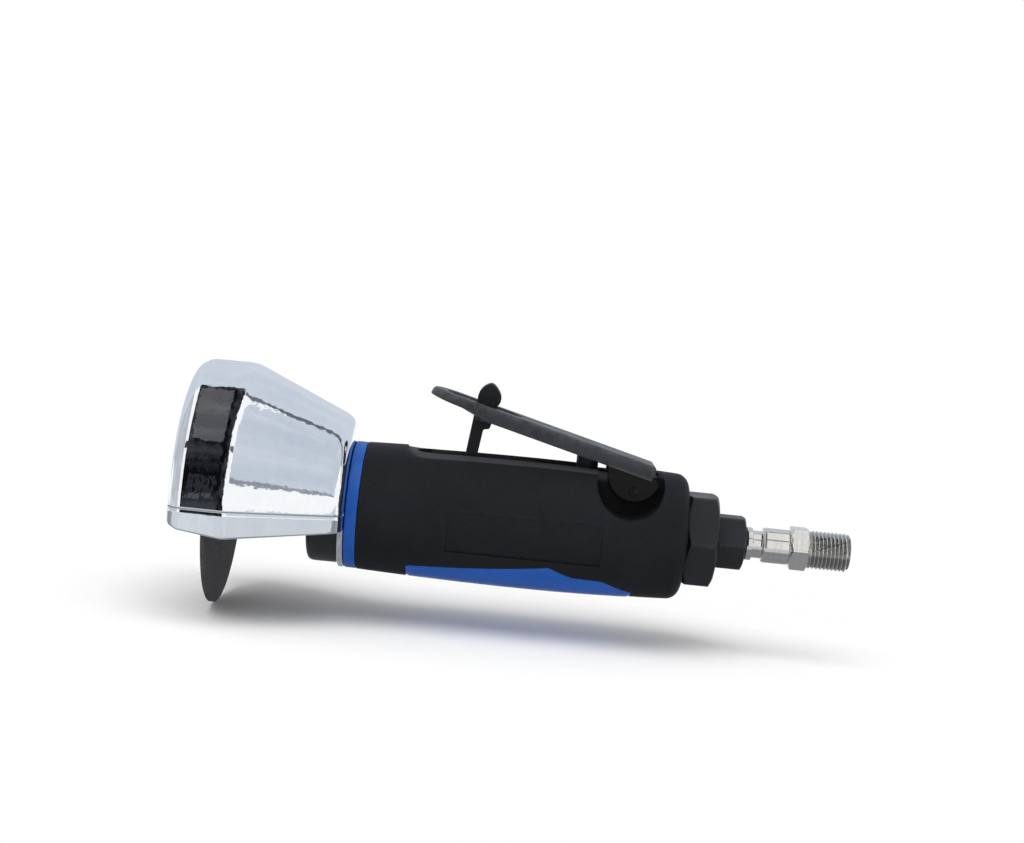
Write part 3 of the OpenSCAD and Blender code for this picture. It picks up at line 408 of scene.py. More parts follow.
def screw_shells():
    """The head and shank are turned. The socket's wall follows the hexagon and its floor closes to a point;
    a ring of faces joins its rim to the head's round face."""
    head = eased([[x_head, face_r], [x_head, head_r], [x_head + head_h, head_r], [x_head + head_h, shank_r],
                  [screw_hi[0], shank_r], [screw_hi[0], 0]], [0.0, 0.6, 0.2, 0.1, 0.4, 0], closed=False)
    socket = np.array([[x_head, head_r], [x_head + socket_h, head_r], [x_head + socket_h, 0.0]])
    angle = np.linspace(0, 2 * np.pi, SCREW_TURNS, endpoint=False)
    r = np.stack([np.full(SCREW_TURNS, face_r), socket_limit(angle)])
    rims = np.stack([np.full(r.shape, x_head), r * np.cos(angle), r * np.sin(angle)], axis=-1)
    return [lathe(head, closed=False), shell(rims), lathe(socket, closed=False, limit=socket_limit)]


add_piece("wheel_fixing", screw_shells(), "rotor", ["wheel_screw"], "dark_steel")

arbor_r, clamp_r, pilot_r, foot_r = 7.5, arbor_hi[1], 4.77, 6.32
arbor_bore_r, shaft_bore_r, shaft_depth, clamp_t, neck_at, foot_len = 2.53, 4.03, 14.5, 3.0, 6.5, 1.5
x_foot, x_shaft = arbor_hi[0] - foot_len, arbor_hi[0] - shaft_depth
arbor_profile = eased([[arbor_lo[0], arbor_bore_r], [arbor_lo[0], pilot_r], [x_clamp, pilot_r],
                       [x_clamp, clamp_r], [x_clamp + clamp_t, clamp_r], [x_clamp + neck_at, arbor_r],
                       [x_foot, arbor_r], [x_foot, foot_r], [arbor_hi[0], foot_r],
                       [arbor_hi[0], shaft_bore_r], [x_shaft, shaft_bore_r], [x_shaft, arbor_bore_r]],
                      turned_ease)
add_piece("spindle", [lathe(dense(arbor_profile, 3))], "rotor", ["wheel_arbor"], "steel")


# %% [markdown]
# Behind the guard sit three turned rings: the black nut that holds the guard, the blue collar and, in the
# nose, a felt ring that keeps grit from the bearing.

# %% Nose rings
collar_bore_r, felt_bore_r = 15.53, 7.56
ring_piece("ring_nut", "guard_nut", nose_r, [0.5, 2.6, 0.5, 0.2], "black_metal", steps=9, step=1.5)
ring_piece("blue_collar", "front_collar", collar_bore_r, [0.2, 0.7, 0.35, 0.2], "blue", steps=7)
ring_piece("nose_felt", "shaft_seal", felt_bore_r, 0.5, "felt")


# %% [markdown]
# The grip is a moulded rubber sleeve, fatter in the middle, with a slot on top, a round recess at each ear
# of the lever, a shallow panel on each side and a bed for the blue inlay. The sleeve is turned from its
# barrel formula; the openings are cut with solids that follow the same formula, then edges are rounded.

# %% Barrel of the grip
wall_front, wall_mid, wall_rear, fattest = 3.3, 4.5, 2.7, 59.0
rear_round, front_round, step_x, front_step, step_out = 4.5, 0.4, 18.0, 0.2, 20.0
grip_bore_r, cap_bore_r, cap_lip = housing_r + 0.03, 13.53, 2.0


def barrel_r(d):
    """Outer radius of the grip at a distance from its front: two parabolas that meet where it is fattest."""
    before = (wall_mid - wall_front) * ((fattest - d) / fattest) ** 2
    after = (wall_mid - wall_rear) * ((d - fattest) / (grip_len - fattest)) ** 2
    return housing_r + wall_mid - np.where(d < fattest, before, after)


def grip_profile():
    """Section of the sleeve as (station, radius): outside with a small step near the front and a rounded rear
    corner, then back along the two bores."""
    end = grip_len - rear_round
    d = np.concatenate([[0.0, front_round], np.linspace(1, step_x - 0.5, 12),
                        np.linspace(step_x - 0.3, step_x + 0.3, 4), np.linspace(step_x + 0.6, end, 60)])
    step = np.where(d < step_x, 0.0, front_step) * np.where(d > end - step_out, (end - d) / step_out, 1)
    r = barrel_r(d) - step
    r[0] -= front_round
    corner = circle(x_cap - rear_round, r[-1] - rear_round, rear_round, 85, 0, 12)
    x_lip = x_cap - cap_lip
    bores = [[x_cap, cap_bore_r], [x_lip, cap_bore_r], [x_lip, grip_bore_r], [x_grip, grip_bore_r]]
    return np.concatenate([np.stack([x_grip + d, r], axis=1), corner, bores])


# %% Cutters for the grip
def prism(outline, low, high, place):
    """A straight cutter: an outline pushed from a low to a high level and placed by a function."""
    level = np.array([low, high])[:, None] * np.ones(len(outline))
    u, v = np.broadcast_to(outline.T[:, None], (2,) + level.shape)
    return shell(np.stack(place(u, v, level), axis=-1), caps=True)


def on_barrel(d, across, there, back, place):
    """A solid that follows the barrel. At each distance d a ring of points goes across at one radius and
    comes back at another; it stands off the axis by the root of the radius squared less across squared."""
    r = np.concatenate([np.broadcast_to(v, across.shape) for v in (there, back)], axis=1)
    across = np.concatenate([across, across[:, ::-1]], axis=1)
    x = (x_grip + d)[:, None] * np.ones(across.shape[1])
    off = np.sqrt(np.maximum(r ** 2 - across ** 2, 0))
    return shell(np.stack(place(x, across, off), axis=-1), caps=True)


def upright(x, y, z):
    """A plan outline pushed upward."""
    return x, y, z


def sideways(x, z, y):
    """An outline in X and Z pushed across the tool."""
    return x, y, z


def under(x, across, off):
    """Places a solid under the barrel."""
    return x, across, -off


slot_half, slot_front, slot_end, slot_low, slot_high = 7.0, x_grip + 17.0, x_pin - 9.2, -4.0, 8.0
rim_w, rim_drop, rim_over, rim_end, rim_start = 5.2, 0.5, 3.5, 7.0, 0.98
recess_x, recess_z, recess_r, boss_half = x_pin - 1.3, pin_z + 2.9, 11.4, 8.0
boss_top, boss_back, outside = housing_r + 1.7, x_pin + 8.0, 30.0
inlay_x, inlay_stations = 17.0, np.array([0, 48, 56, 66.5, 77.0])
inlay_half, inlay_bed, bed_clear = np.array([14.5, 19.3, 16.9, 16.1, 10.8]), 1.6, 4.0
panel_d, panel_mid, panel_half, panel_deep, skin_clear = np.linspace(30, 82, 27), -3.0, 7.0, (0.35, 0.35), 3.0


def inlay_reach(d, gap):
    """Half width of the inlay at a distance from the grip's front, less a gap: straight between corners."""
    return np.interp(d - inlay_x, inlay_stations, inlay_half) - gap


def slot_rim():
    """Takes the barrel's crown down beside the slot: a roof that falls from the slot's edge to a line further
    out on the barrel, along the slot's length, with its ends rising like a shallow dish."""
    x = np.linspace(slot_front - rim_over, slot_end + rim_over, 61)
    r = barrel_r(x - x_grip)
    end = np.clip(1 - np.minimum(x - x[0], x[-1] - x) / rim_end, 0, 1)
    wide = slot_half + rim_w * np.sqrt(1 - end ** 2) + 0.01
    top = np.sqrt(r ** 2 - slot_half ** 2) - rim_drop * (1 - end ** 2)
    foot = np.sqrt(r ** 2 - wide ** 2)
    down = np.linspace(0, 1, 7)[None, :]
    near = rim_start * slot_half + (wide[:, None] - rim_start * slot_half) * down
    roof = top[:, None] + (foot - top)[:, None] * down
    fall = (top - foot) / np.maximum(wide - slot_half, 0.01)
    far, low, high = wide[:, None] + 1, (foot - fall)[:, None], r[:, None] + skin_clear
    y = np.concatenate([-far, -near[:, ::-1], near, far, far, -far], axis=1)
    z = np.concatenate([low, roof[:, ::-1], roof, low, high, high], axis=1)
    return shell(np.stack([x[:, None] * np.ones(y.shape[1]), y, z], axis=-1), caps=True)


def side_panel(side):
    """A shallow slab on one side of the barrel, between two heights, deeper towards its lower edge."""
    z = panel_mid + np.linspace(-1, 1, 15)[None, :] * panel_half * np.ones((len(panel_d), 1))
    deep = panel_deep[0] + panel_deep[1] * (panel_mid + panel_half - z) / (2 * panel_half)
    r = barrel_r(panel_d)[:, None]
    return on_barrel(panel_d, z, r - deep, r + skin_clear, lambda x, z, off: (x, side * off, z))


slot_plan = np.concatenate([circle(slot_end - slot_half, 0, slot_half, -90, 90, 24),
                            circle(slot_front + slot_half, 0, slot_half, 90, 270, 24)])
recess = circle(recess_x, recess_z, recess_r, 0, 360, 96)
over = np.degrees(np.arcsin((boss_top - recess_z) / recess_r))
over_boss = circle(recess_x, recess_z, recess_r, over, 180 - over, 48)
over_boss[:, 0] = np.minimum(over_boss[:, 0], boss_back)
bed_d = np.union1d(np.linspace(inlay_x, inlay_x + inlay_stations[-1], 40), inlay_x + inlay_stations)
bed_across, bed_r = np.linspace(-1, 1, 25)[None, :] * inlay_reach(bed_d, 0)[:, None], barrel_r(bed_d)[:, None]
cutters = [
    prism(slot_plan, housing_r + slot_low, housing_r + slot_high, upright),
    slot_rim(),
    prism(recess, -outside, -boss_half, sideways),
    prism(recess, boss_half, outside, sideways),
    prism(over_boss, -boss_half - 0.02, boss_half + 0.02, sideways),
    on_barrel(bed_d, bed_across, bed_r - inlay_bed, bed_r + bed_clear, under),
    side_panel(-1),
    side_panel(1),
]


# %% Cut the grip and round its edges
def cut_mesh(name, solid, tools, round_edges):
    """The mesh of a solid with tools taken away by exact booleans and its sharp edges bevelled."""
    work = bpy.data.objects.new(name + "_work", new_mesh(name + "_work", solid))
    bpy.context.scene.collection.objects.link(work)
    helpers = []
    for k, tool in enumerate(tools):
        helper = bpy.data.objects.new("tool", new_mesh("tool", [tool]))
        bpy.context.scene.collection.objects.link(helper)
        cut = work.modifiers.new("cut_%d" % k, "BOOLEAN")
        cut.operation, cut.solver, cut.object = "DIFFERENCE", "EXACT", helper
        helpers.append(helper)
    if round_edges:
        soft = work.modifiers.new("soft", "BEVEL")
        soft.width, soft.segments, soft.limit_method = round_edges * MM, 2, "ANGLE"
        soft.angle_limit, soft.use_clamp_overlap = radians(38), True
    result = bpy.data.meshes.new_from_object(work.evaluated_get(bpy.context.evaluated_depsgraph_get()))
    for o in helpers + [work]:
        bpy.data.objects.remove(o)
    settle(result)
    result.name = name
    return result


grip_ease, recess_fade, highlight_fade, highlight_from, crown_z = 0.35, 0.25, 0.12, 0.02, 18.0
grip_mesh = cut_mesh("grip_sleeve", [lathe(grip_profile(), turns=144)], cutters, grip_ease)
add_piece("grip_sleeve", grip_mesh, "body", ["rubber_grip"], "grip_rubber")


def in_recess(x, y, z):
    """Share of painted shade: full inside the round recess, none outside it."""
    return (recess_r + 0.1 - np.hypot(x - recess_x, z - recess_z)) / recess_fade


def on_slot_rim(x, y, z):
    """Share of painted highlight: how far a point beside the slot lies under the barrel."""
    along = (x > slot_front - rim_over - 0.5) & (x < slot_end + rim_over + 0.5)
    beside = along & (np.abs(y) > slot_half - 0.5) & (z > crown_z)
    return np.where(beside, (barrel_r(x - x_grip) - front_step - highlight_from - np.hypot(y, z)) / highlight_fade, 0)


# Painted shade: the round recess by the lever's ear is marked to go dark.
mark(grip_mesh, "painted_shade", in_recess)
# Painted highlight: the rim beside the slot is marked to go lighter, as a lit edge.
mark(grip_mesh, "painted_highlight", on_slot_rim)


# %% [markdown]
# The blue inlay fills its bed under the grip. It follows the barrel, with a small gap all round and a
# crowned edge, so a thin dark line shows between it and the rubber.

# %% Blue inlay
inlay_gap, inlay_depth, inlay_crown, inlay_proud = 0.15, 1.5, 0.5, 0.02


def inlay_shell():
    """A ring of points at each distance d: over the outside from side to side and back on the inside. The
    outside falls off near the rim by a quarter circle, as a moulded edge does."""
    ends = inlay_x + inlay_gap, inlay_x + inlay_stations[-1] - inlay_gap
    d = np.union1d(np.linspace(*ends, 60), inlay_x + inlay_stations[1:-1])
    reach, r = inlay_reach(d, inlay_gap)[:, None], barrel_r(d)[:, None]
    y = np.sin(np.linspace(-np.pi / 2, np.pi / 2, 41))[None, :] * reach
    from_end = np.minimum(d - d[0], d[-1] - d)[:, None]
    rim = np.clip(1 - np.minimum(reach - np.abs(y), from_end) / inlay_crown, 0, 1)
    outer = r + inlay_proud - inlay_crown * (1 - np.sqrt(1 - rim ** 2))
    return on_barrel(d, y, outer, r - inlay_depth, under)


add_piece("blue_inlay", [inlay_shell()], "body", ["grip_inlay"], "blue")


# %% [markdown]
# The lever is bent from one sheet. Its plate is a ring round the slot: at each place on the slot's outline
# a rounded section runs out to the plate's own outline, so the grid closes on itself like a tyre.
# The flanges hang from its rim; round ears and the lock's lugs are slabs. All of it is drawn level and then
# tilted about the pin.

# %% Throttle lever
lever_angle, lever_rise, lever_t, lever_back = radians(14.2), 10.2, 2.2, 5.1
lock_arm, loop_reach, slot_w, slot_back = 57.0, 18.8, 10.0, 13.5
flange_depth, ear_t, ear_step, ear_r, ear_ahead, ear_over = 5.0, 2.0, 0.5, 9.0, 1.5, 1.0
lug_in, lug_t, lug_half, lug_over, lock_drop, lock_pin_r = 5.4, 1.8, 2.2, 0.4, 1.3, 1.0
rear_corner, lip_t, lip_low, bend_r, bend_w, edge_w, plate_ease = 1.5, 2.0, 0.6, 1.4, 3.2, 1.2, 0.3
lever_reach, lever_under, flange_low = lock_arm + loop_reach, lever_rise - lever_t, lever_rise - flange_depth
lock_n, loop_low, loop_x = lever_under - lock_drop, lever_under - lip_low, lever_half - lever_reach
FRONT_STEPS, SIDE_STEPS, CORNER_STEPS, REAR_STEPS = 120, 60, 10, 50


def on_lever(x, y, n):
    """Tilts a point of the level lever about the pin: x and n turn by the lever's slope, y stays."""
    c, s = np.cos(lever_angle), np.sin(lever_angle)
    return x_pin + x * c + n * s, y, pin_z - x * s + n * c


def between(start, end, count):
    """Points between two ends, without the ends."""
    return np.linspace(start, end, count + 2)[1:-1]


def plate_ring(inset):
    """The plate's outline drawn in by an inset: a half circle round the front, straight sides and two rear
    corners. Every inset has its points at the same places along the outline."""
    half, back, corner = lever_half - inset, lever_back - inset, max(rear_corner - inset, 0.02)
    x, y = back - corner, half - corner
    return np.concatenate([
        circle(loop_x, 0, half, 90, 270, FRONT_STEPS), between([loop_x, -half], [x, -half], SIDE_STEPS),
        circle(x, -y, corner, -90, 0, CORNER_STEPS), between([back, -y], [back, y], REAR_STEPS),
        circle(x, y, corner, 0, 90, CORNER_STEPS), between([x, half], [loop_x, half], SIDE_STEPS)])


def slot_ring(outset):
    """The slot's outline drawn out by an outset, with as many points on each stretch as the plate's."""
    half, rear = slot_w / 2 + outset, -lock_arm + slot_back - slot_w / 2
    return np.concatenate([
        circle(loop_x, 0, half, 90, 270, FRONT_STEPS), between([loop_x, -half], [rear, -half], SIDE_STEPS),
        circle(rear, 0, half, -90, 90, 2 * CORNER_STEPS + REAR_STEPS),
        between([rear, half], [loop_x, half], SIDE_STEPS)])


def bent_sheet():
    """The section is a rounded angle: a wall that hangs from the plate's rim, the bend, the plate's flat and
    the slot's edge. Points near the rim lie on insets of the plate, points near the slot on its outsets.
    The wall's foot is low along the flanges, higher round the loop and gone at the rear."""
    foot = np.interp(plate_ring(0)[:, 0],
                     [-lever_reach, -lever_reach + 12, -lock_arm + 2, lever_back - 0.6, lever_back - 0.1],
                     [loop_low, loop_low - 0.5, flange_low, flange_low, lever_under - 0.1])[:, None]
    near = eased([[bend_w, 0], [lip_t, 0], [lip_t, -1], [0, -1], [0, 1], [bend_w, 1]],
                 [0, 0.4, 0.3, 0.5, bend_r, 0], steps=6, closed=False)
    edge = eased([[edge_w, 1], [0, 1], [0, 0], [edge_w, 0]], [0, 0.4, 0.4, 0], closed=False)
    plan = np.stack([plate_ring(d) for d in near[:, 0]] + [slot_ring(d) for d in edge[:, 0]], axis=1)
    level = np.concatenate([near[:, 1], edge[:, 1]])[None, :] * np.ones_like(foot)
    n = lever_under + level * np.where(level < 0, lever_under - foot, lever_t)
    return shell(np.stack(on_lever(plan[..., 0], plan[..., 1], n), axis=-1), wrap_rows=True)


def side_plates(side):
    """The ear and the lock's lug on one side of the lever."""
    def beside(x, n, y):
        return on_lever(x, side * y, n)

    top, front = flange_low + ear_over, -ear_ahead - ear_r
    ear = np.concatenate([circle(-ear_ahead, flange_low, ear_r, 180, 360, 40),
                          [[lever_back - 0.5, top], [front + 0.5, top]]])
    low, high, rear = lock_n - lug_half, lever_under + lug_over, -lock_arm + lug_half
    lug = [[rear - 2 * lug_half, low], [rear, low], [rear, high], [rear - 2 * lug_half, high]]
    lug = dense(eased(lug, [1.6, 1.6, 0.1, 0.1]), 1)
    ear = dense(eased(ear, 0.05), 1)
    return [slab(ear, lever_half - ear_t, lever_half - ear_step, plate_ease, beside),
            slab(lug, lug_in, lug_in + lug_t, plate_ease, beside)]


lever_shells = [bent_sheet()] + side_plates(-1) + side_plates(1)
lever = add_piece("lever_steel", lever_shells, "lever", ["throttle_lever"], "grey_steel")
shade_from, highlight_from_pin, highlight_w, step_gap = 14.0, 9.0, 0.6, 0.1


def over_pin(x, z):
    """Height of a point over the pin, square to the lever."""
    return (x - x_pin) * np.sin(lever_angle) + (z - pin_z) * np.cos(lever_angle)


def on_ears(x, y, z):
    """Share of painted shade on the lever: full on the ears, which lie a step in from the flanges and under
    them.
    """
    inside = (x > x_pin - shade_from) & (np.abs(y) < lever_half - ear_step + 0.02)
    return np.where(inside & (over_pin(x, z) < flange_low + ear_over + 0.05), 1.0, 0.0)


def on_lip(x, y, z):
    """Share of painted highlight on the lever: a lighter line along the flange's lower edge beside the ears.
    """
    beside = (x > x_pin - highlight_from_pin) & (np.abs(y) > lever_half - ear_step + step_gap)
    return np.where(beside, 1 - np.abs(over_pin(x, z) - flange_low - 0.2) / highlight_w, 0)


# Painted shade: the ears are marked to go nearly black.
mark(lever.data, "painted_shade", on_ears)
# Painted highlight: a light line along the flange's lower edge.
mark(lever.data, "painted_highlight", on_lip)


# %% [markdown]
# The safety lock is a moulded black part: a leaf shaped thumb tab, a leg that stops the lever and a small
# nub. It is one outline pushed to its thickness with generous rounding, which keeps it comfortable to touch.

# %% Safety lock and its pins
tab_h, tab_w, tab_foot, tab_belly, tab_trim, hub_r, tip_r = 11.0, 6.7, 1.0, 1.3, 5.0, 2.6, 2.0
lock_lean, lock_nub, lock_t, lock_ease, lock_round = 5.0, 1.6, 7.0, 0.45, 0.95
lock_lo = span("safety_lock")[0]
lock_x, _, lock_z = on_lever(-lock_arm, 0, lock_n)


def lock_outline():
    """Outline of the lock from its pin: two arcs that meet in the leaf's tip, the nub, the leg's round foot.
    The leaf's arcs have the radius that its height and width give, and the rear one has a fuller belly."""
    leaf_r = ((tab_h - tab_foot) ** 2 + tab_w ** 2) / (4 * tab_w)
    leaf_x, leaf_z = leaf_r - tab_w / 2, (tab_h + tab_foot) / 2
    low, high = np.degrees(np.arccos([(leaf_x + hub_r) / leaf_r, leaf_x / leaf_r])) - [0, tab_trim]
    right = circle(-leaf_x, leaf_z, leaf_r, high, -low, 14)
    left = circle(leaf_x, leaf_z, leaf_r, 180 + low, 180 - high, 14)
    share = np.clip((right[:, 1] - tab_foot) / (tab_h - tab_foot), 0, 1)
    right[:, 0] += tab_belly * np.sin(share * np.pi)
    nub = [[hub_r, 0], [hub_r + lock_nub, -lock_nub / 2], [hub_r + lock_nub, -lock_nub * 2.6],
           [hub_r - 0.4, -lock_nub * 2.9]]
    lean = radians(lock_lean)
    leg = (lock_z - lock_lo[2] - tip_r) / np.cos(lever_angle - lean)
    foot = circle(leg * np.sin(lean), -leg * np.cos(lean), tip_r, lock_lean, lock_lean - 180, 14)
    outline = np.concatenate([right, nub, foot, [[-hub_r, 0]], left])[::-1]
    return dense(eased(outline, lock_round), 0.8)


def at_lock(u, n, y):
    """A point of the lock, measured from its pin along the lever and up."""
    return on_lever(u - lock_arm, y, n + lock_n)


def pin(x, z, r, half):
    """A round pin across the tool with rounded ends, closed at both ends on its axis."""
    profile = eased([[-half, 0], [-half, r], [half, r], [half, 0]], [0, 0.3, 0.3, 0], closed=False)
    return lathe(profile, closed=False, turns=32, axis="y", at=(x, 0, z))


lock_slab = slab(lock_outline(), -lock_t / 2, lock_t / 2, lock_ease, at_lock)
lever_axle = pin(x_pin, pin_z, (pin_hi[2] - pin_lo[2]) / 2, lever_half)
lock_axle = pin(lock_x, lock_z, lock_pin_r, lug_in + lug_t)
add_piece("thumb_lock", [lock_slab], "lock", ["safety_lock"], "black_plastic")
add_piece("lever_axle", [lever_axle], "body", ["lever_pin"], "dark_steel")
add_piece("lock_axle", [lock_axle], "lever", ["lock_pin"], "dark_steel")


# %% [markdown]
# Springs are wires wound on a helix. A ring of points is carried along the helix in the frame of its own
# tangent, and the ends are closed. The valve spring is drawn at its CAD length; in the tool it flattens with
# the lever.

# %% Springs
def coil(r, length, turns, wire, steps=20, sides=10):
    """A wire on a helix about Z: at each step the ring stands square to the tangent, on the outward and the
    upward normal of the helix."""
    t = np.linspace(0, 2 * np.pi * turns, int(turns * steps) + 1)
    out = np.stack([np.cos(t), np.sin(t), 0 * t], axis=1)
    slope = length / (2 * np.pi * turns)
    along = np.stack([-r * np.sin(t), r * np.cos(t), slope + 0 * t], axis=1)
    along /= np.linalg.norm(along, axis=1)[:, None]
    up = np.cross(along, out)
    a = np.linspace(0, 2 * np.pi, sides, endpoint=False)[None, :, None]
    centre = r * out + np.stack([0 * t, 0 * t, slope * t], axis=1)
    return centre[:, None] + wire / 2 * (np.cos(a) * out[:, None] + np.sin(a) * up[:, None])


valve_lo, valve_hi = span("valve_spring")
valve_wire, valve_turns, valve_travel, lock_wire, lock_turns = 0.9, 6, 2.7, 0.4, 2
valve_h = valve_hi[2] - valve_lo[2]
valve_coil = coil((valve_hi[0] - valve_lo[0] - valve_wire) / 2, valve_h - valve_wire, valve_turns, valve_wire)
valve_at = np.array([(valve_lo[0] + valve_hi[0]) / 2, 0, valve_lo[2] + valve_wire / 2])
spring = add_piece("valve_coil", [shell(valve_coil + valve_at, caps=True)], "body", ["valve_spring"], "steel")
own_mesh(spring)

lock_coil = coil(lock_pin_r + lock_wire, lug_in - lock_t / 2 - 2 * lock_wire, lock_turns, lock_wire)
turned_coil = at_lock(lock_coil[..., 0], -lock_coil[..., 1], lock_coil[..., 2] - lug_in + lock_wire)
add_piece("lock_coil", [shell(np.stack(turned_coil, axis=-1), caps=True)], "lever", ["lock_spring"], "steel")


# %% [markdown]
# The throttle plunger stands between lever and body. It is one turned piece: a domed push button on a thin
# stem, with the valve's head below.

# %% Throttle plunger
stem_lo, stem_hi = span("valve_stem")
x_valve, valve_head_r = (stem_lo[0] + stem_hi[0]) / 2, stem_hi[1]
plunger_r, stem_r, valve_head_t, dome_r, button_low = 3.75, 2.0, 2.6, 5.0, -6.0
plunger_low, z_head = housing_r + button_low + valve_travel, stem_lo[2] + valve_head_t
dome = circle(stem_hi[2] - dome_r, 0, dome_r, np.degrees(np.arcsin(plunger_r / dome_r)), 0, 12)
stem_profile = eased([[stem_lo[2], 0], [stem_lo[2], valve_head_r], [z_head, valve_head_r], [z_head, stem_r],
                      [plunger_low, stem_r], [plunger_low, plunger_r], dome[0]],
                     [0, 0.3, 0.3, 0.2, 0.2, 0.2, 0], closed=False)
stem_profile = np.concatenate([stem_profile[:-1], dome])
plunger = lathe(stem_profile, closed=False, turns=48, axis="z", at=(x_valve, 0, 0))
add_piece("push_plunger", [plunger], "valve", ["valve_stem"], "black_plastic")


# %% [markdown]
# Hexagons at the rear are turned bars with flats. The lathe takes the smaller of the turned radius and the
# hexagon's radius at each angle, so the chamfer cuts the familiar arcs into the flats by itself.

# %% Rear cap, inlet bushing and air fitting
HEX_TURNS, HEX_STEP, HOLES = 192, 0.35, 6


def hexagon(af, corner_share=0.985):
    """Radius of a hexagon at an angle, flats above and below, with the sharp corners broken a little."""
    def limit(angle):
        return np.minimum(af / 2 / np.cos(angle % (np.pi / 3) - np.pi / 6), af / np.sqrt(3) * corner_share)
    return limit


def hex_bar(low, high, af):
    """Outer profile of a chamfered hexagonal bar, from the first end to the second."""
    corner, face = af / np.sqrt(3), af / 2 - 0.35
    cut = (corner - af / 2) / 2 + 0.25
    return [[low, face], [low + cut, corner], [high - cut, corner], [high, face]]


def hex_lathe(profile, ease, af):
    """A turned profile held inside a hexagon."""
    return lathe(dense(eased(profile, ease, steps=4), HEX_STEP), turns=HEX_TURNS, limit=hexagon(af))


cap_lo, cap_hi = span("rear_cap")
bush_lo, bush_hi = span("inlet_bushing")
nip_lo, nip_hi = span("air_nipple")
cap_af, bush_af, fit_af = cap_hi[2] * 2, bush_hi[2] * 2, nip_hi[2] * 2
spigot_r, spigot_wall, cap_wall, bush_r, air_r, tail_r, play = 13.5, 1.6, 3.0, 5.4, 3.0, 4.5, 0.03
bush_len, tail_len, hole_r, hole_in, hole_out = 10.0, 8.0, 1.1, 4.0, 1.0
x_rear, x_seal, cavity_r = cap_hi[0], bush_hi[0], spigot_r - spigot_wall
x_floor, x_bush, x_tail = x_rear - cap_wall, x_seal - bush_len, x_seal - tail_len

cap_profile = hex_bar(x_cap, x_rear, cap_af) + [
    [x_rear, bush_r + play], [x_floor, bush_r + play], [x_floor, cavity_r],
    [cap_lo[0], cavity_r], [cap_lo[0], spigot_r], [x_cap, spigot_r]]
drill = np.array([[-hole_in, 0], [-hole_in, hole_r], [hole_out, hole_r], [hole_out, 0]]) + [x_rear, 0]
holes = [lathe(drill, closed=False, turns=24, at=(0, -np.sin(a) * cavity_r, np.cos(a) * cavity_r))
         for a in np.linspace(0, 2 * np.pi, HOLES, endpoint=False)]
cap_mesh = cut_mesh("hex_cap", [hex_lathe(cap_profile, 0.25, cap_af)], holes, 0)
add_piece("hex_cap", cap_mesh, "body", ["rear_cap"], "black_metal")

bush_profile = hex_bar(x_bush, x_seal, bush_af) + [
    [x_seal, tail_r + play], [x_tail, tail_r + play], [x_tail, air_r],
    [bush_lo[0], air_r], [bush_lo[0], bush_r], [x_bush, bush_r]]
add_piece("hex_bushing", [hex_lathe(bush_profile, 0.2, bush_af)], "body", ["inlet_bushing"], "black_metal")

thread_r, thread_len, pitch, thread_depth = 6.58, nip_hi[0], 1.337, 0.6
hex_len, sleeve_r, sleeve_len, neck_r, neck_len, flange_r, flange_len = 6.5, 6.0, 9.3, 4.7, 3.4, 5.65, 2.0
x_sleeve = -hex_len - sleeve_len
x_neck = x_sleeve - neck_len
x_flange = x_neck - flange_len


def nipple_shell():
    """The fitting is turned to a profile, held inside the hexagon, and cut by a thread: on the thread the
    radius drops by a rounded groove whose place moves one pitch along for each turn of the angle."""
    plain = [[nip_lo[0], air_r], [nip_lo[0], tail_r], [x_flange, tail_r], [x_flange, flange_r],
             [x_neck, flange_r], [x_neck, neck_r], [x_sleeve, neck_r], [x_sleeve, sleeve_r - 0.5],
             [x_sleeve + 0.7, sleeve_r], [-hex_len - 0.3, sleeve_r], [-hex_len, sleeve_r - 0.4]]
    plain += hex_bar(-hex_len, 0, fit_af)
    plain += [[0, thread_r - thread_depth], [0.9, thread_r], [thread_len - 0.8, thread_r],
              [thread_len, thread_r - 0.8], [thread_len, air_r + 0.4], [thread_len - 0.5, air_r]]
    plain = dense(eased(plain, 0.22, steps=4), 0.8)
    first, last = np.flatnonzero((plain[:, 0] > 0.3) & (plain[:, 1] > thread_r - 1))[[0, -1]]
    fine = dense(plain[first:last + 1], 0.12, closed=False)
    plain = np.concatenate([plain[:first], fine, plain[last + 1:]])
    angle = np.linspace(0, 2 * np.pi, HEX_TURNS, endpoint=False)
    station = plain[:, 0][:, None]
    r = np.minimum(plain[:, 1][:, None], hexagon(fit_af)(angle))
    phase = (station / pitch - angle / (2 * np.pi)) % 1
    groove = np.clip(1.3 * (1 - np.abs(2 * phase - 1)) - 0.15, 0, 1)
    on_thread = np.clip((station - 0.4) / 0.6, 0, 1) * (r > thread_r - 1.0)
    r = r - thread_depth * groove * on_thread
    x = station * np.ones_like(angle)
    return shell(np.stack([x, r * np.cos(angle), r * np.sin(angle)], axis=-1), wrap_rows=True)


def in_thread(x, y, z):
    """Share of painted shade on the thread: a little on the crests and more towards the bottom of the groove.
    """
    deep = (thread_r - np.hypot(y, z)) / thread_depth
    return (x > 0.2) * np.clip(0.3 + 0.7 * deep, 0, 1)


nipple = add_piece("air_fitting", [nipple_shell()], "body", ["air_nipple"], "nickel")
# Painted shade: the thread's grooves are marked to go darker.
mark(nipple.data, "painted_shade", in_thread)


# %% [markdown]
# Soft rings hardly show: a felt silencer and two seals at the rear, and the round seal on the valve's stem.
# They are turned with eased or round sections like the real ones.

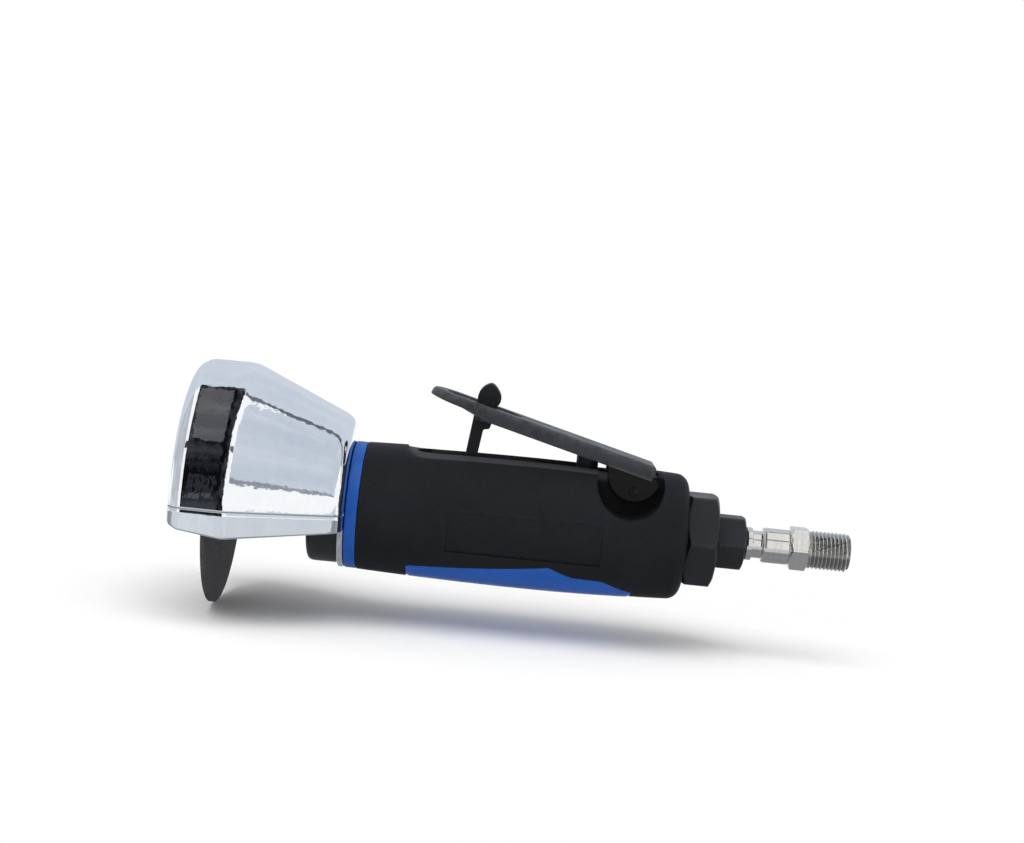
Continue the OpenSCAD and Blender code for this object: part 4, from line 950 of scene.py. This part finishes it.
# %% Felt and rings
ring_piece("silencer_ring", "silencer_felt", 5.46, 0.6, "felt")
ring_piece("cap_seal", "cap_oring", 12.9, 0.5, "seal_rubber")
ring_piece("inlet_washer", "nipple_seal", 4.53, 0.2, "seal_rubber")
oring_lo, oring_hi = span("valve_oring")
oring_r, oring_z = (oring_hi[2] - oring_lo[2]) / 2, (oring_lo[2] + oring_hi[2]) / 2
oring_section = circle(oring_z, (oring_hi[0] - oring_lo[0]) / 2 - oring_r, oring_r, count=24)
oring = lathe(oring_section, turns=48, axis="z", at=(x_valve, 0, 0))
add_piece("valve_seal", [oring], "valve", ["valve_oring"], "seal_rubber")


# %% [markdown]
# Finishes share a few effects, so these are node groups: grain mixes two tones with noise and gives a
# height for bump, wear brings a second colour to the edges that stand out, and rings gives tool marks.
# Colours are written as they look on screen and turned to linear light here.

# %% Colours and node helpers
def tone(red, green, blue):
    """Linear colour of a screen colour from 0 to 255: the usual sRGB curve."""
    c = np.array([red, green, blue]) / 255
    linear = np.where(c <= 0.04045, c / 12.92, ((c + 0.055) / 1.055) ** 2.4)
    return (*linear.tolist(), 1.0)


def feed(tree, socket, value):
    """Gives a socket its value: a link from another socket, or a number or colour of its own."""
    if isinstance(value, bpy.types.NodeSocket):
        tree.links.new(value, socket)
    else:
        socket.default_value = value


def add_node(tree, kind, **values):
    """A shader node with sockets fed by name, where an underscore stands for a space."""
    node = tree.nodes.new("ShaderNode" + kind)
    for label, value in values.items():
        feed(tree, node.inputs[label.replace("_", " ")], value)
    return node


def blank_tree(owner):
    """The empty node tree of a material or world."""
    owner.use_nodes = True
    owner.node_tree.nodes.clear()
    return owner.node_tree


def new_group(name, inputs, outputs):
    """An empty node group with named sockets, and its input and output nodes."""
    group = bpy.data.node_groups.new(name, "ShaderNodeTree")
    for label, kind, value in [("Vector", "Vector", None)] + inputs:
        socket = group.interface.new_socket(label, in_out="INPUT", socket_type="NodeSocket" + kind)
        if value is not None:
            socket.default_value = value
    for label, kind in outputs:
        group.interface.new_socket(label, in_out="OUTPUT", socket_type="NodeSocket" + kind)
    return group, group.nodes.new("NodeGroupInput").outputs, group.nodes.new("NodeGroupOutput").inputs


def noise(tree, vector, scale, detail=3.0, rough=0.55):
    """A noise texture; scale is a socket or a number."""
    node = add_node(tree, "TexNoise", Vector=vector, Scale=scale, Detail=detail, Roughness=rough)
    return node.outputs["Fac"]


def math(tree, operation, *values):
    """A math node on sockets and numbers."""
    node = add_node(tree, "Math")
    node.operation = operation
    for socket, value in zip(node.inputs, values):
        feed(tree, socket, value)
    return node.outputs[0]


def remap(tree, value, low, high, to_low, to_high):
    """A value moved from one range to another and held inside it; ends are sockets or numbers."""
    node = add_node(tree, "MapRange")
    for socket, v in zip(node.inputs, (value, low, high, to_low, to_high)):
        feed(tree, socket, v)
    return node.outputs["Result"]


def mix(tree, share, first, second):
    """Colour between two colours."""
    node = add_node(tree, "Mix")
    node.data_type = "RGBA"
    for label, value in (("Factor", share), ("A", first), ("B", second)):
        feed(tree, node.inputs[label], value)
    return node.outputs["Result"]


def marked(tree, label):
    """Share that an attribute of the mesh gives."""
    node = add_node(tree, "Attribute")
    node.attribute_name = label
    return node.outputs["Fac"]


# %% Grain, wear and tool mark groups
def make_grain():
    """Two tones mixed by fine noise over broad noise, a roughness that follows them, and a height."""
    group, i, o = new_group(
        "grain", [("Dark", "Color", None), ("Light", "Color", None), ("Fine", "Float", 900.0),
                  ("Broad", "Float", 40.0), ("Smooth", "Float", 0.4), ("Rough", "Float", 0.6)],
        [("Color", "Color"), ("Roughness", "Float"), ("Height", "Float")])
    fine, broad = noise(group, i["Vector"], i["Fine"], 2.0), noise(group, i["Vector"], i["Broad"], 4.0)
    both = math(group, "ADD", math(group, "MULTIPLY", fine, 0.45), math(group, "MULTIPLY", broad, 0.55))
    share = remap(group, both, 0.32, 0.68, 0.0, 1.0)
    feed(group, o["Color"], mix(group, share, i["Dark"], i["Light"]))
    feed(group, o["Roughness"], remap(group, broad, 0.3, 0.7, i["Smooth"], i["Rough"]))
    feed(group, o["Height"], fine)
    return group


def make_wear():
    """Colour of worn edges: the mesh's edge value, broken up by noise, brings in the worn colour."""
    group, i, o = new_group(
        "wear", [("Color", "Color", None), ("Worn", "Color", None), ("Amount", "Float", 0.5),
                 ("Scale", "Float", 300.0)],
        [("Color", "Color"), ("Mask", "Float")])
    patchy = remap(group, noise(group, i["Vector"], i["Scale"]), 0.35, 0.7, 0.0, 1.0)
    mask = math(group, "MULTIPLY", marked(group, "edge"), patchy)
    mask = math(group, "MINIMUM", math(group, "MULTIPLY", mask, i["Amount"]), 1.0)
    feed(group, o["Color"], mix(group, mask, i["Color"], i["Worn"]))
    feed(group, o["Mask"], mask)
    return group


def make_rings():
    """Fine tool marks round the tool axis: noise stretched flat in Y and Z, read along X."""
    group, i, o = new_group(
        "tool_marks", [("Pitch", "Float", 4000.0), ("Smooth", "Float", 0.15), ("Rough", "Float", 0.3)],
        [("Height", "Float"), ("Roughness", "Float")])
    flat = add_node(group, "Mapping", Vector=i["Vector"], Scale=(1.0, 0.02, 0.02))
    lines = noise(group, flat.outputs["Vector"], i["Pitch"], 2.0)
    feed(group, o["Height"], lines)
    feed(group, o["Roughness"], remap(group, lines, 0.3, 0.7, i["Smooth"], i["Rough"]))
    return group


GRAIN, WEAR, RINGS = make_grain(), make_wear(), make_rings()
print("node groups:", [g.name for g in bpy.data.node_groups])


# %% Materials from the groups
def new_material(name):
    """A material with its shader, output and Object coordinates."""
    material = bpy.data.materials.new(name)
    tree = blank_tree(material)
    shader = add_node(tree, "BsdfPrincipled")
    add_node(tree, "OutputMaterial", Surface=shader.outputs["BSDF"])
    return material, tree, shader, add_node(tree, "TexCoord").outputs["Object"]


def use(tree, group, where, **values):
    """Places a group in a material, on Object coordinates, with its own values."""
    node = add_node(tree, "Group")
    node.node_tree = group
    for label, value in {"Vector": where, **values}.items():
        feed(tree, node.inputs[label], value)
    return node.outputs


def surface(tree, shader, colour, rough, height, depth, strength=1.0, metallic=0.0, specular=0.5):
    """Feeds the shader with a colour, a roughness and a bump of a depth in millimetres."""
    bump = add_node(tree, "Bump", Strength=strength, Distance=depth * MM, Height=height)
    for label, value in (("Base Color", colour), ("Roughness", rough), ("Normal", bump.outputs["Normal"]),
                         ("Metallic", metallic), ("Specular IOR Level", specular)):
        feed(tree, shader.inputs[label], value)


def finish(name, dark, light, worn, scales, rough, depth, wear, marks=(), turned=False, **shine):
    """The common finish: two tones of grain, a worn tone on the edges and the tones of any marks on top. A
    turned metal takes roughness and bump from its tool marks, all else from the grain."""
    material, tree, shader, where = new_material(name)
    ends = {"Smooth": rough[0], "Rough": rough[1]}
    fine, broad = scales
    grain = use(tree, GRAIN, where, Dark=tone(*dark), Light=tone(*light), Fine=fine, Broad=broad, **ends)
    colour = use(tree, WEAR, where, Color=grain["Color"], Worn=tone(*worn), Amount=wear)["Color"]
    for label, over in marks:
        colour = mix(tree, marked(tree, label), colour, tone(*over))
    skin = use(tree, RINGS, where, **ends) if turned else grain
    surface(tree, shader, colour, skin["Roughness"], skin["Height"], depth, **shine)
    return material


def bare_metal(name, dark, light, worn, rough, depth, painted_shade_tone):
    """Turned bare metal with slightly brighter edges, and painted shade where it is marked."""
    return finish(name, dark, light, worn, (800, 70), rough, depth, 0.7, [("painted_shade", painted_shade_tone)], True, metallic=1.0)


# %% [markdown]
# Chrome is almost a mirror, so its look is what it reflects. A pressed shell is never flat: a broad, very
# shallow bump bends the reflections, and a faint haze comes from roughness. The abrasive is grit in dark
# resin on glass cloth: Voronoi cells give the grit, a few cells glint, and two crossed waves show the cloth.

# %% Chrome and abrasive
def chrome_finish():
    """Mirror metal with broad shallow waves, fine orange peel and a little haze."""
    material, tree, shader, where = new_material("chrome_plate")
    grain = use(tree, GRAIN, where, Dark=tone(240, 243, 247), Light=tone(250, 251, 253), Fine=260.0,
                Broad=45.0, Smooth=0.03, Rough=0.08)
    waves = noise(tree, where, 55.0, 4.0, 0.62)
    height = math(tree, "ADD", waves, math(tree, "MULTIPLY", grain["Height"], 0.13))
    surface(tree, shader, grain["Color"], grain["Roughness"], height, 0.5, 0.45, metallic=1.0)
    return material


def abrasive_finish():
    """Cell noise for grit, darker resin between, faint cloth lines from two crossed waves."""
    material, tree, shader, where = new_material("abrasive_disc")
    grit = add_node(tree, "TexVoronoi", Vector=where, Scale=1500.0).outputs["Distance"]
    grain = use(tree, GRAIN, where, Dark=tone(50, 48, 52), Light=tone(66, 64, 68), Fine=1800.0, Broad=90.0)
    lines = []
    for turned in ("Y", "Z"):
        wave = add_node(tree, "TexWave", Vector=where, Scale=110.0, Distortion=0.6)
        wave.bands_direction = turned
        lines.append(wave.outputs["Fac"])
    cloth = math(tree, "MAXIMUM", *lines)
    glint = remap(tree, grit, 0.0, 0.18, 1.0, 0.0)
    shade = mix(tree, math(tree, "MULTIPLY", cloth, 0.25), grain["Color"], tone(84, 81, 84))
    colour = mix(tree, math(tree, "MULTIPLY", glint, 0.35), shade, tone(112, 110, 112))
    height = math(tree, "ADD", math(tree, "MULTIPLY", grit, -0.8), math(tree, "MULTIPLY", cloth, 0.3))
    surface(tree, shader, colour, remap(tree, glint, 0.0, 1.0, 0.95, 0.6), height, 0.15)
    return material


# %% [markdown]
# Each finish has a dark, a light and a worn tone, the scales of fine and broad grain, the least and the
# greatest roughness, the depth of its bump in millimetres and how much its edges are worn.

# %% Give every piece its finish
finish_of_slot = {
    "chrome": chrome_finish(),
    "abrasive": abrasive_finish(),
    # Grip rubber: its first mark is painted shade in the lever's recess, its second a painted highlight on
    # the rim beside the slot.
    "grip_rubber": finish("moulded_rubber", (24, 25, 28), (32, 33, 37), (50, 51, 55), (1400, 60), (0.5, 0.65),
                          0.05, 0.4, [("painted_shade", (9, 9, 11)), ("painted_highlight", (62, 63, 66))], specular=0.12),
    "blue": finish("blue_plastic", (24, 78, 162), (34, 92, 178), (76, 126, 200), (1500, 50), (0.34, 0.45),
                   0.02, 0.4, specular=0.2),
    # Lever paint: its first mark is painted shade on the ears, its second a painted highlight along the
    # flange's lower edge. Its strong edge wear is partly real wear, partly painted highlight on lit edges.
    "grey_steel": finish("lever_paint", (42, 44, 48), (53, 55, 60), (104, 106, 110), (1200, 70), (0.34, 0.48),
                         0.02, 1.0, [("painted_shade", (7, 7, 8)), ("painted_highlight", (92, 92, 90))], specular=0.3),
    "black_plastic": finish("lock_plastic", (24, 25, 28), (33, 34, 37), (56, 57, 60), (1300, 80), (0.4, 0.55),
                            0.02, 0.5, specular=0.2),
    "black_metal": finish("black_oxide", (23, 25, 29), (32, 34, 38), (68, 69, 72), (1100, 90), (0.36, 0.5),
                          0.02, 0.6, specular=0.45),
    "felt": finish("felt_wool", (120, 112, 98), (160, 150, 132), (170, 160, 142), (2200, 300), (0.9, 1.0),
                   0.3, 0.2),
    "seal_rubber": finish("seal_black", (20, 20, 22), (30, 30, 32), (45, 45, 47), (900, 100), (0.45, 0.6),
                          0.02, 0.3),
    "housing_metal": finish("cast_housing", (13, 14, 16), (21, 22, 24), (60, 60, 62), (900, 60), (0.45, 0.6),
                            0.03, 0.3, specular=0.1),
    "brass": finish("turned_brass", (176, 132, 62), (200, 158, 88), (220, 190, 130), (900, 60), (0.25, 0.4),
                    0.01, 0.5, metallic=1.0),
    "vane": finish("vane_fibre", (92, 66, 40), (122, 90, 56), (140, 110, 76), (1500, 80), (0.5, 0.7),
                   0.05, 0.4),
    # Nickel: its last tone is painted shade in the thread's grooves.
    "nickel": bare_metal("bright_nickel", (222, 219, 214), (236, 234, 230), (246, 245, 243), (0.1, 0.2),
                         0.004, (170, 168, 163)),
    "steel": bare_metal("bare_steel", (150, 152, 156), (176, 178, 182), (205, 206, 208), (0.22, 0.36),
                        0.008, (90, 90, 90)),
    "dark_steel": bare_metal("dark_steel", (36, 37, 40), (48, 49, 53), (96, 97, 100), (0.28, 0.45),
                             0.008, (20, 20, 20)),
}
slot_of_node = {s["node"]: s["material_slot"] for s in frame["record"]["subparts"]}
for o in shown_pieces():
    slot = o["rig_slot"] if "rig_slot" in o else slot_of_node[o["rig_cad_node"]]
    o.data.materials.clear()
    o.data.materials.append(finish_of_slot[slot])


# %% [markdown]
# The photograph shows the tool alone on white, lit softly from above. The world is white for the camera and
# for mirrors, and gives a plain even light to the rest. Chrome needs something dark to show its form, so dark
# and grey cards stand where a studio is dark: round the camera. Only reflections see them.

# %% World and lamp
ambient, lamp_at, lamp_size, lamp_power, middle = 0.62, (-0.25, -0.42, 1.1), 1.0, 9.5, (-0.1, 0.0, 0.0)
scene = bpy.context.scene
scene.world = bpy.data.worlds.new("studio")
tree = blank_tree(scene.world)
path = add_node(tree, "LightPath").outputs
seen = math(tree, "MAXIMUM", path["Is Camera Ray"], path["Is Glossy Ray"])
seen = math(tree, "MAXIMUM", seen, path["Is Transmission Ray"])
sky = add_node(tree, "Background", Color=(1, 1, 1, 1), Strength=remap(tree, seen, 0.0, 1.0, ambient, 1.0))
add_node(tree, "OutputWorld", Surface=sky.outputs["Background"])

soft_box = bpy.data.lights.new("front_box", "AREA")
soft_box.size, soft_box.energy = lamp_size, lamp_power
lamp = bpy.data.objects.new("front_box", soft_box)
lamp.location = lamp_at
lamp.rotation_euler = (Vector(middle) - Vector(lamp_at)).to_track_quat("-Z", "Y").to_euler()
lamp.visible_glossy = False
scene.collection.objects.link(lamp)


# %% [markdown]
# Cards stand on a large ball round the guard. The guard is turned about X, so a card is easiest to place by
# the X part of its direction and by the turn about X, up from the front: a round drum mirrors one strip of X,
# a cone another, and the turn is twice the slope of the metal.

# %% Cards
guard_middle = np.array([(x_guard + x_guard_back) / 2, 0, 0]) * MM
FAR, NEAR = 1.5, 1.45


def card(name, sideways, turn, dark, light, radius=FAR):
    """A patch of a ball that only reflections see: for X part s and turn t its direction is
    (s, -cos t, sin t) with the last two times the root of 1 - s squared. Noise mixes its two tones."""
    s = np.linspace(*sideways, 13)[None, :]
    t = np.radians(np.linspace(*turn, 25))[:, None]
    ring = np.sqrt(1 - s ** 2)
    points = np.stack([s + 0 * t, -ring * np.cos(t), ring * np.sin(t)], axis=-1) * radius + guard_middle
    flat, faces = shell(points, wrap_cols=False)
    mesh = bpy.data.meshes.new(name)
    mesh.from_pydata(flat.tolist(), [], faces)
    material = bpy.data.materials.new(name)
    tree = blank_tree(material)
    where = add_node(tree, "TexCoord").outputs["Object"]
    cloud = remap(tree, noise(tree, where, 2.5, 4.0), 0.45, 0.7, 0.0, 1.0)
    glow = add_node(tree, "Emission", Color=mix(tree, cloud, tone(*dark), tone(*light)))
    add_node(tree, "OutputMaterial", Surface=glow.outputs["Emission"])
    mesh.materials.append(material)
    o = bpy.data.objects.new(name, mesh)
    scene.collection.objects.link(o)
    o.visible_camera = o.visible_diffuse = o.visible_transmission = o.visible_shadow = False


card("front_dark", (-0.30, 0.20), (-10, 108), (12, 13, 16), (70, 74, 80))
card("front_grey", (-0.225, -0.135), (50, 104), (84, 85, 88), (112, 112, 112), NEAR)
card("front_smudge", (-0.194, -0.164), (0, 20), (44, 47, 52), (118, 124, 130), NEAR)
card("top_pale", (-0.98, 0.98), (108, 176), (203, 211, 221), (212, 219, 228))
card("right_pale", (0.40, 0.9), (20, 103), (196, 204, 215), (214, 221, 230))
card("right_edge", (0.40, 0.9), (15, 20), (140, 147, 156), (170, 178, 188))
card("right_line", (0.22, 0.9), (103, 108), (84, 90, 98), (110, 116, 124))
card("left_pale", (-0.98, -0.52), (-10, 108), (186, 190, 196), (204, 208, 213))
card("gap_left", (-0.50, -0.30), (42, 49), (50, 53, 58), (80, 84, 90))
card("gap_line", (0.22, 0.38), (42, 49), (70, 74, 80), (110, 114, 120))
card("near_floor", (-0.98, 0.98), (-34, -10), (206, 211, 217), (218, 222, 227))
card("under_grey", (-0.98, 0.98), (-150, -34), (138, 141, 145), (164, 167, 171))


# %% [markdown]
# The floor is pale paper. Near the tool it is lit like any paper and takes the soft shadow; further out it
# goes over to plain white for the camera, so that the background is white as in the photograph.

# %% Floor
floor_z, reach, fade_from, fade_to = cad_box[0][2] - 0.0005, 6.0, 0.07, 0.21
corners = [(x * reach, y * reach, floor_z) for x, y in ((-1, -1), (1, -1), (1, 1), (-1, 1))]
floor_mesh = bpy.data.meshes.new("floor")
floor_mesh.from_pydata(corners, [], [[0, 1, 2, 3]])
floor = bpy.data.objects.new("floor", floor_mesh)
scene.collection.objects.link(floor)
floor.visible_glossy = False
floor_material, tree, shader, where = new_material("pale_floor")
paper = use(tree, GRAIN, where, Dark=tone(248, 248, 248), Light=tone(253, 253, 253), Fine=300.0, Broad=8.0,
            Smooth=0.8, Rough=0.9)
feed(tree, shader.inputs["Base Color"], paper["Color"])
feed(tree, shader.inputs["Roughness"], paper["Roughness"])
feed(tree, shader.inputs["Specular IOR Level"], 0.0)
around = add_node(tree, "Mapping", Vector=where, Location=(0.09, 0.0, -floor_z), Scale=(0.7, 1.0, 1.0))
length = add_node(tree, "VectorMath", Vector=around.outputs["Vector"])
length.operation = "LENGTH"
far = remap(tree, length.outputs["Value"], fade_from, fade_to, 0.0, 1.0)
white = add_node(tree, "Emission", Color=(1, 1, 1, 1))
camera_ray = add_node(tree, "LightPath").outputs["Is Camera Ray"]
blend = add_node(tree, "MixShader", Fac=math(tree, "MULTIPLY", far, camera_ray))
feed(tree, blend.inputs[1], shader.outputs["BSDF"])
feed(tree, blend.inputs[2], white.outputs["Emission"])
feed(tree, tree.nodes["Material Output"].inputs["Surface"], blend.outputs["Shader"])
floor_mesh.materials.append(floor_material)


# %% [markdown]
# The camera was fitted to points of the photograph: ends of the thread, the caps, the grip, the guard and
# the wheel. It looks across the tool from the near side, a little from above, and is rolled by a few degrees.

# %% Camera
image_w, focal_px, sensor = 1024, 1740, 36.0
look_at = Vector((-0.1049, 0.0, 0.0337))
azimuth, elevation, roll, distance = radians(-0.18), radians(4.87), radians(5.70), 0.5943
level = np.cos(elevation)
toward = Vector((-np.sin(azimuth) * level, -np.cos(azimuth) * level, np.sin(elevation)))
lens = bpy.data.cameras.new("photo_camera")
lens.sensor_fit, lens.sensor_width, lens.lens = "HORIZONTAL", sensor, sensor * focal_px / image_w
lens.clip_start = 0.01
camera = bpy.data.objects.new("photo_camera", lens)
camera.location = look_at + toward * distance
camera.rotation_mode = "QUATERNION"
camera.rotation_quaternion = (-toward).to_track_quat("-Z", "Y") @ Quaternion((0, 0, 1), roll)
scene.collection.objects.link(camera)
scene.camera = camera
scene.view_settings.view_transform = "Standard"
